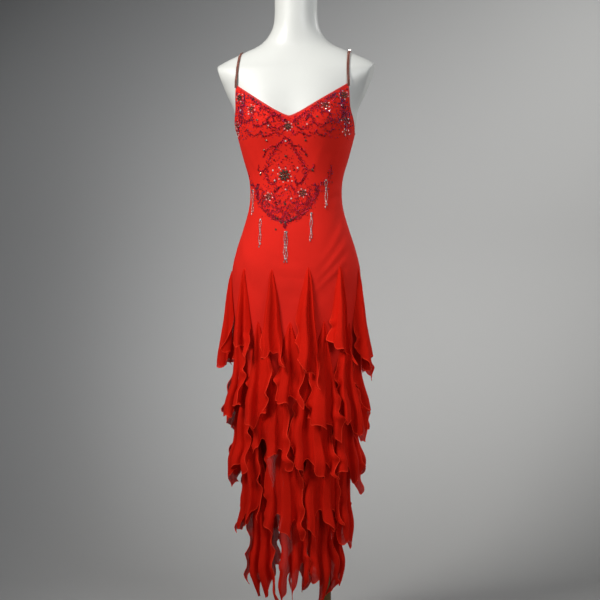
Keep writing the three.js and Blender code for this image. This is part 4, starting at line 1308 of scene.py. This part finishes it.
for node, (x, top, bottom, strands) in TASSELS.items():
    long_at, small_at, drop_at = [], [], []
    for k in range(strands):
        aside = (k - (strands - 1) / 2) * STRAND_APART
        end = bottom + (k % 2) * STRAND_UNEVEN
        z = top - STRAND_HEAD
        while z - BUGLE_LENGTH > end + 6:
            sway = 1.1 * math.sin(z * 0.19 + 2.2 * k)
            long_at.append((x + aside + sway, z - BUGLE_LENGTH / 2))
            small_at.append((x + aside + sway, z - BUGLE_LENGTH - BUGLE_GAP / 2))
            z -= BUGLE_LENGTH + BUGLE_GAP
        drop_at.append((x + aside, z - 3.2))
    pieces = []
    shapes = (
        (long_at, (bugle_points, bugle_faces), BUGLE_SIZE),
        (small_at, seed_bead, (0.75, 0.95, 0.95)),
        (drop_at, drop_bead, (3.2, 1.6, 1.6)),
        ([(x, top - 2.5)], drop_bead, (2.8, strands * STRAND_APART / 2, 1.7)),
    )
    for number, (places, shape, size) in enumerate(shapes):
        at, out = on_front(np.array(places), TASSEL_LIFT)
        down = -flat_ways(out)[1]
        pieces.append(scatter(f"{node}_{number}", shape, at, down, out, size))
    bpy.ops.object.select_all(action="DESELECT")
    for piece in pieces:
        piece.data.materials.append(tassel_beads)
        piece.select_set(True)
    bpy.context.view_layer.objects.active = pieces[0]
    bpy.ops.object.join()
    pieces[0].name = node.replace("tassel", "beaded_tassel")
    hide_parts(node)
    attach(pieces[0], "root")

# Studio. A pale sheet that curves from the floor up behind the stand, seen from its front
# only. A key lamp at the upper left and a fill light the gown, one lamp stands behind it, and
# one lights the sheet.
SWEEP_NEAR, SWEEP_BEHIND, SWEEP_HALF, SWEEP_RADIUS, SWEEP_TOP = -7.0, 1.9, 5.0, 1.1, 5.0
sweep = [(SWEEP_NEAR, 0.0)]
for k in range(25):
    angle = math.pi / 2 * k / 24
    sweep.append((SWEEP_BEHIND - SWEEP_RADIUS + SWEEP_RADIUS * math.sin(angle),
                  SWEEP_RADIUS - SWEEP_RADIUS * math.cos(angle)))
sweep.append((SWEEP_BEHIND, SWEEP_TOP))
sweep_points = []
for away, height in sweep:
    for aside in (-SWEEP_HALF, SWEEP_HALF):
        place = camera_side * aside - camera_back * away
        sweep_points.append((place.x, place.y, height - 0.0005))
sweep_mesh = bpy.data.meshes.new("backdrop")
sweep_mesh.from_pydata(sweep_points, [], [
    (2 * k, 2 * k + 1, 2 * k + 3, 2 * k + 2) for k in range(len(sweep) - 1)
])
sweep_mesh.polygons.foreach_set("use_smooth", [True] * len(sweep_mesh.polygons))
backdrop = bpy.data.objects.new("backdrop", sweep_mesh)
bpy.context.scene.collection.objects.link(backdrop)

# Painted pool of light on the backdrop: the sheet's colour is full at its middle, and painted
# darker with distance from it
painted_light_pool, fall_in, fall_out = new_group("painted_light_pool", {"Vector": None}, ["Shade"])
POOL_MIDDLE, POOL_SCALE = (0.3, 0, 1.25), (0.32, 0, 0.62)
fall_from = place_node(
    painted_light_pool, "ShaderNodeVectorMath", operation="SUBTRACT", input_1=POOL_MIDDLE
)
fall_scale = place_node(
    painted_light_pool, "ShaderNodeVectorMath", operation="MULTIPLY", input_1=POOL_SCALE
)
fall_turn = place_node(painted_light_pool, "ShaderNodeVectorRotate", rotation_type="Y_AXIS")
fall_turn.inputs["Angle"].default_value = math.radians(25)
fall_square = place_node(painted_light_pool, "ShaderNodeVectorMath", operation="DOT_PRODUCT")
fall_range = place_node(
    painted_light_pool, "ShaderNodeMapRange", input_1=0.0, input_2=1.0, input_3=1.0, input_4=0.2
)
join(
    painted_light_pool,
    (fall_in, "Vector", fall_from, 0),
    (fall_from, 0, fall_turn, "Vector"),
    (fall_turn, 0, fall_scale, 0),
    (fall_scale, 0, fall_square, 0),
    (fall_scale, 0, fall_square, 1),
    (fall_square, "Value", fall_range, 0),
    (fall_range, 0, fall_out, "Shade"),
)

BACKDROP_GREY = (0.78, 0.785, 0.77)
backdrop_paper, backdrop_shader = new_material("backdrop_paper", BACKDROP_GREY, 0.9)
# The sheet's grey is multiplied by the painted pool of light, so its darkening toward the edges is
# painted shade
shade_colour(backdrop_paper, backdrop_shader, BACKDROP_GREY, painted_light_pool, "Object")
backdrop_tree = backdrop_paper.node_tree
see_through = backdrop_tree.nodes.new("ShaderNodeBsdfTransparent")
facing = backdrop_tree.nodes.new("ShaderNodeNewGeometry")
choose = backdrop_tree.nodes.new("ShaderNodeMixShader")
join(
    backdrop_tree,
    (facing, "Backfacing", choose, 0),
    (backdrop_shader, 0, choose, 1),
    (see_through, 0, choose, 2),
)
backdrop_tree.links.new(choose.outputs[0], backdrop_tree.nodes["Material Output"].inputs["Surface"])
backdrop.data.materials.append(backdrop_paper)

# Columns: place, aim, size, power, spread in degrees, colour
LIGHTS = {
    "key": ((-1.2, -1.5, 2.3), (0, 0, 1.28), 0.8, 8.4, 66, (1.0, 0.98, 0.95)),
    "fill": ((2.0, -2.5, 1.8), (0, 0, 1.3), 1.5, 3.8, 50, (0.95, 0.97, 1.0)),
    "back": ((1.6, 1.3, 2.4), (0, 0, 1.0), 0.9, 14, 180, (1.0, 0.99, 0.97)),
    "wall": ((2.2, 0.3, 2.2), (0.6, 1.9, 1.3), 0.9, 6, 180, (1.0, 1.0, 1.0)),
}
for name, (place, aim, size, power, spread, colour) in LIGHTS.items():
    lamp_data = bpy.data.lights.new(name, "AREA")
    lamp_data.size = size
    lamp_data.spread = math.radians(spread)
    lamp_data.energy = power
    lamp_data.color = colour
    lamp = bpy.data.objects.new(name, lamp_data)
    lamp.location = place
    lamp.rotation_euler = (Vector(aim) - Vector(place)).to_track_quat("-Z", "Y").to_euler()
    bpy.context.scene.collection.objects.link(lamp)
world = bpy.data.worlds.new("studio")
world.use_nodes = True
background = world.node_tree.nodes["Background"]
background.inputs["Color"].default_value = (0.9, 0.93, 1.0, 1)
background.inputs["Strength"].default_value = 0.15
bpy.context.scene.world = world
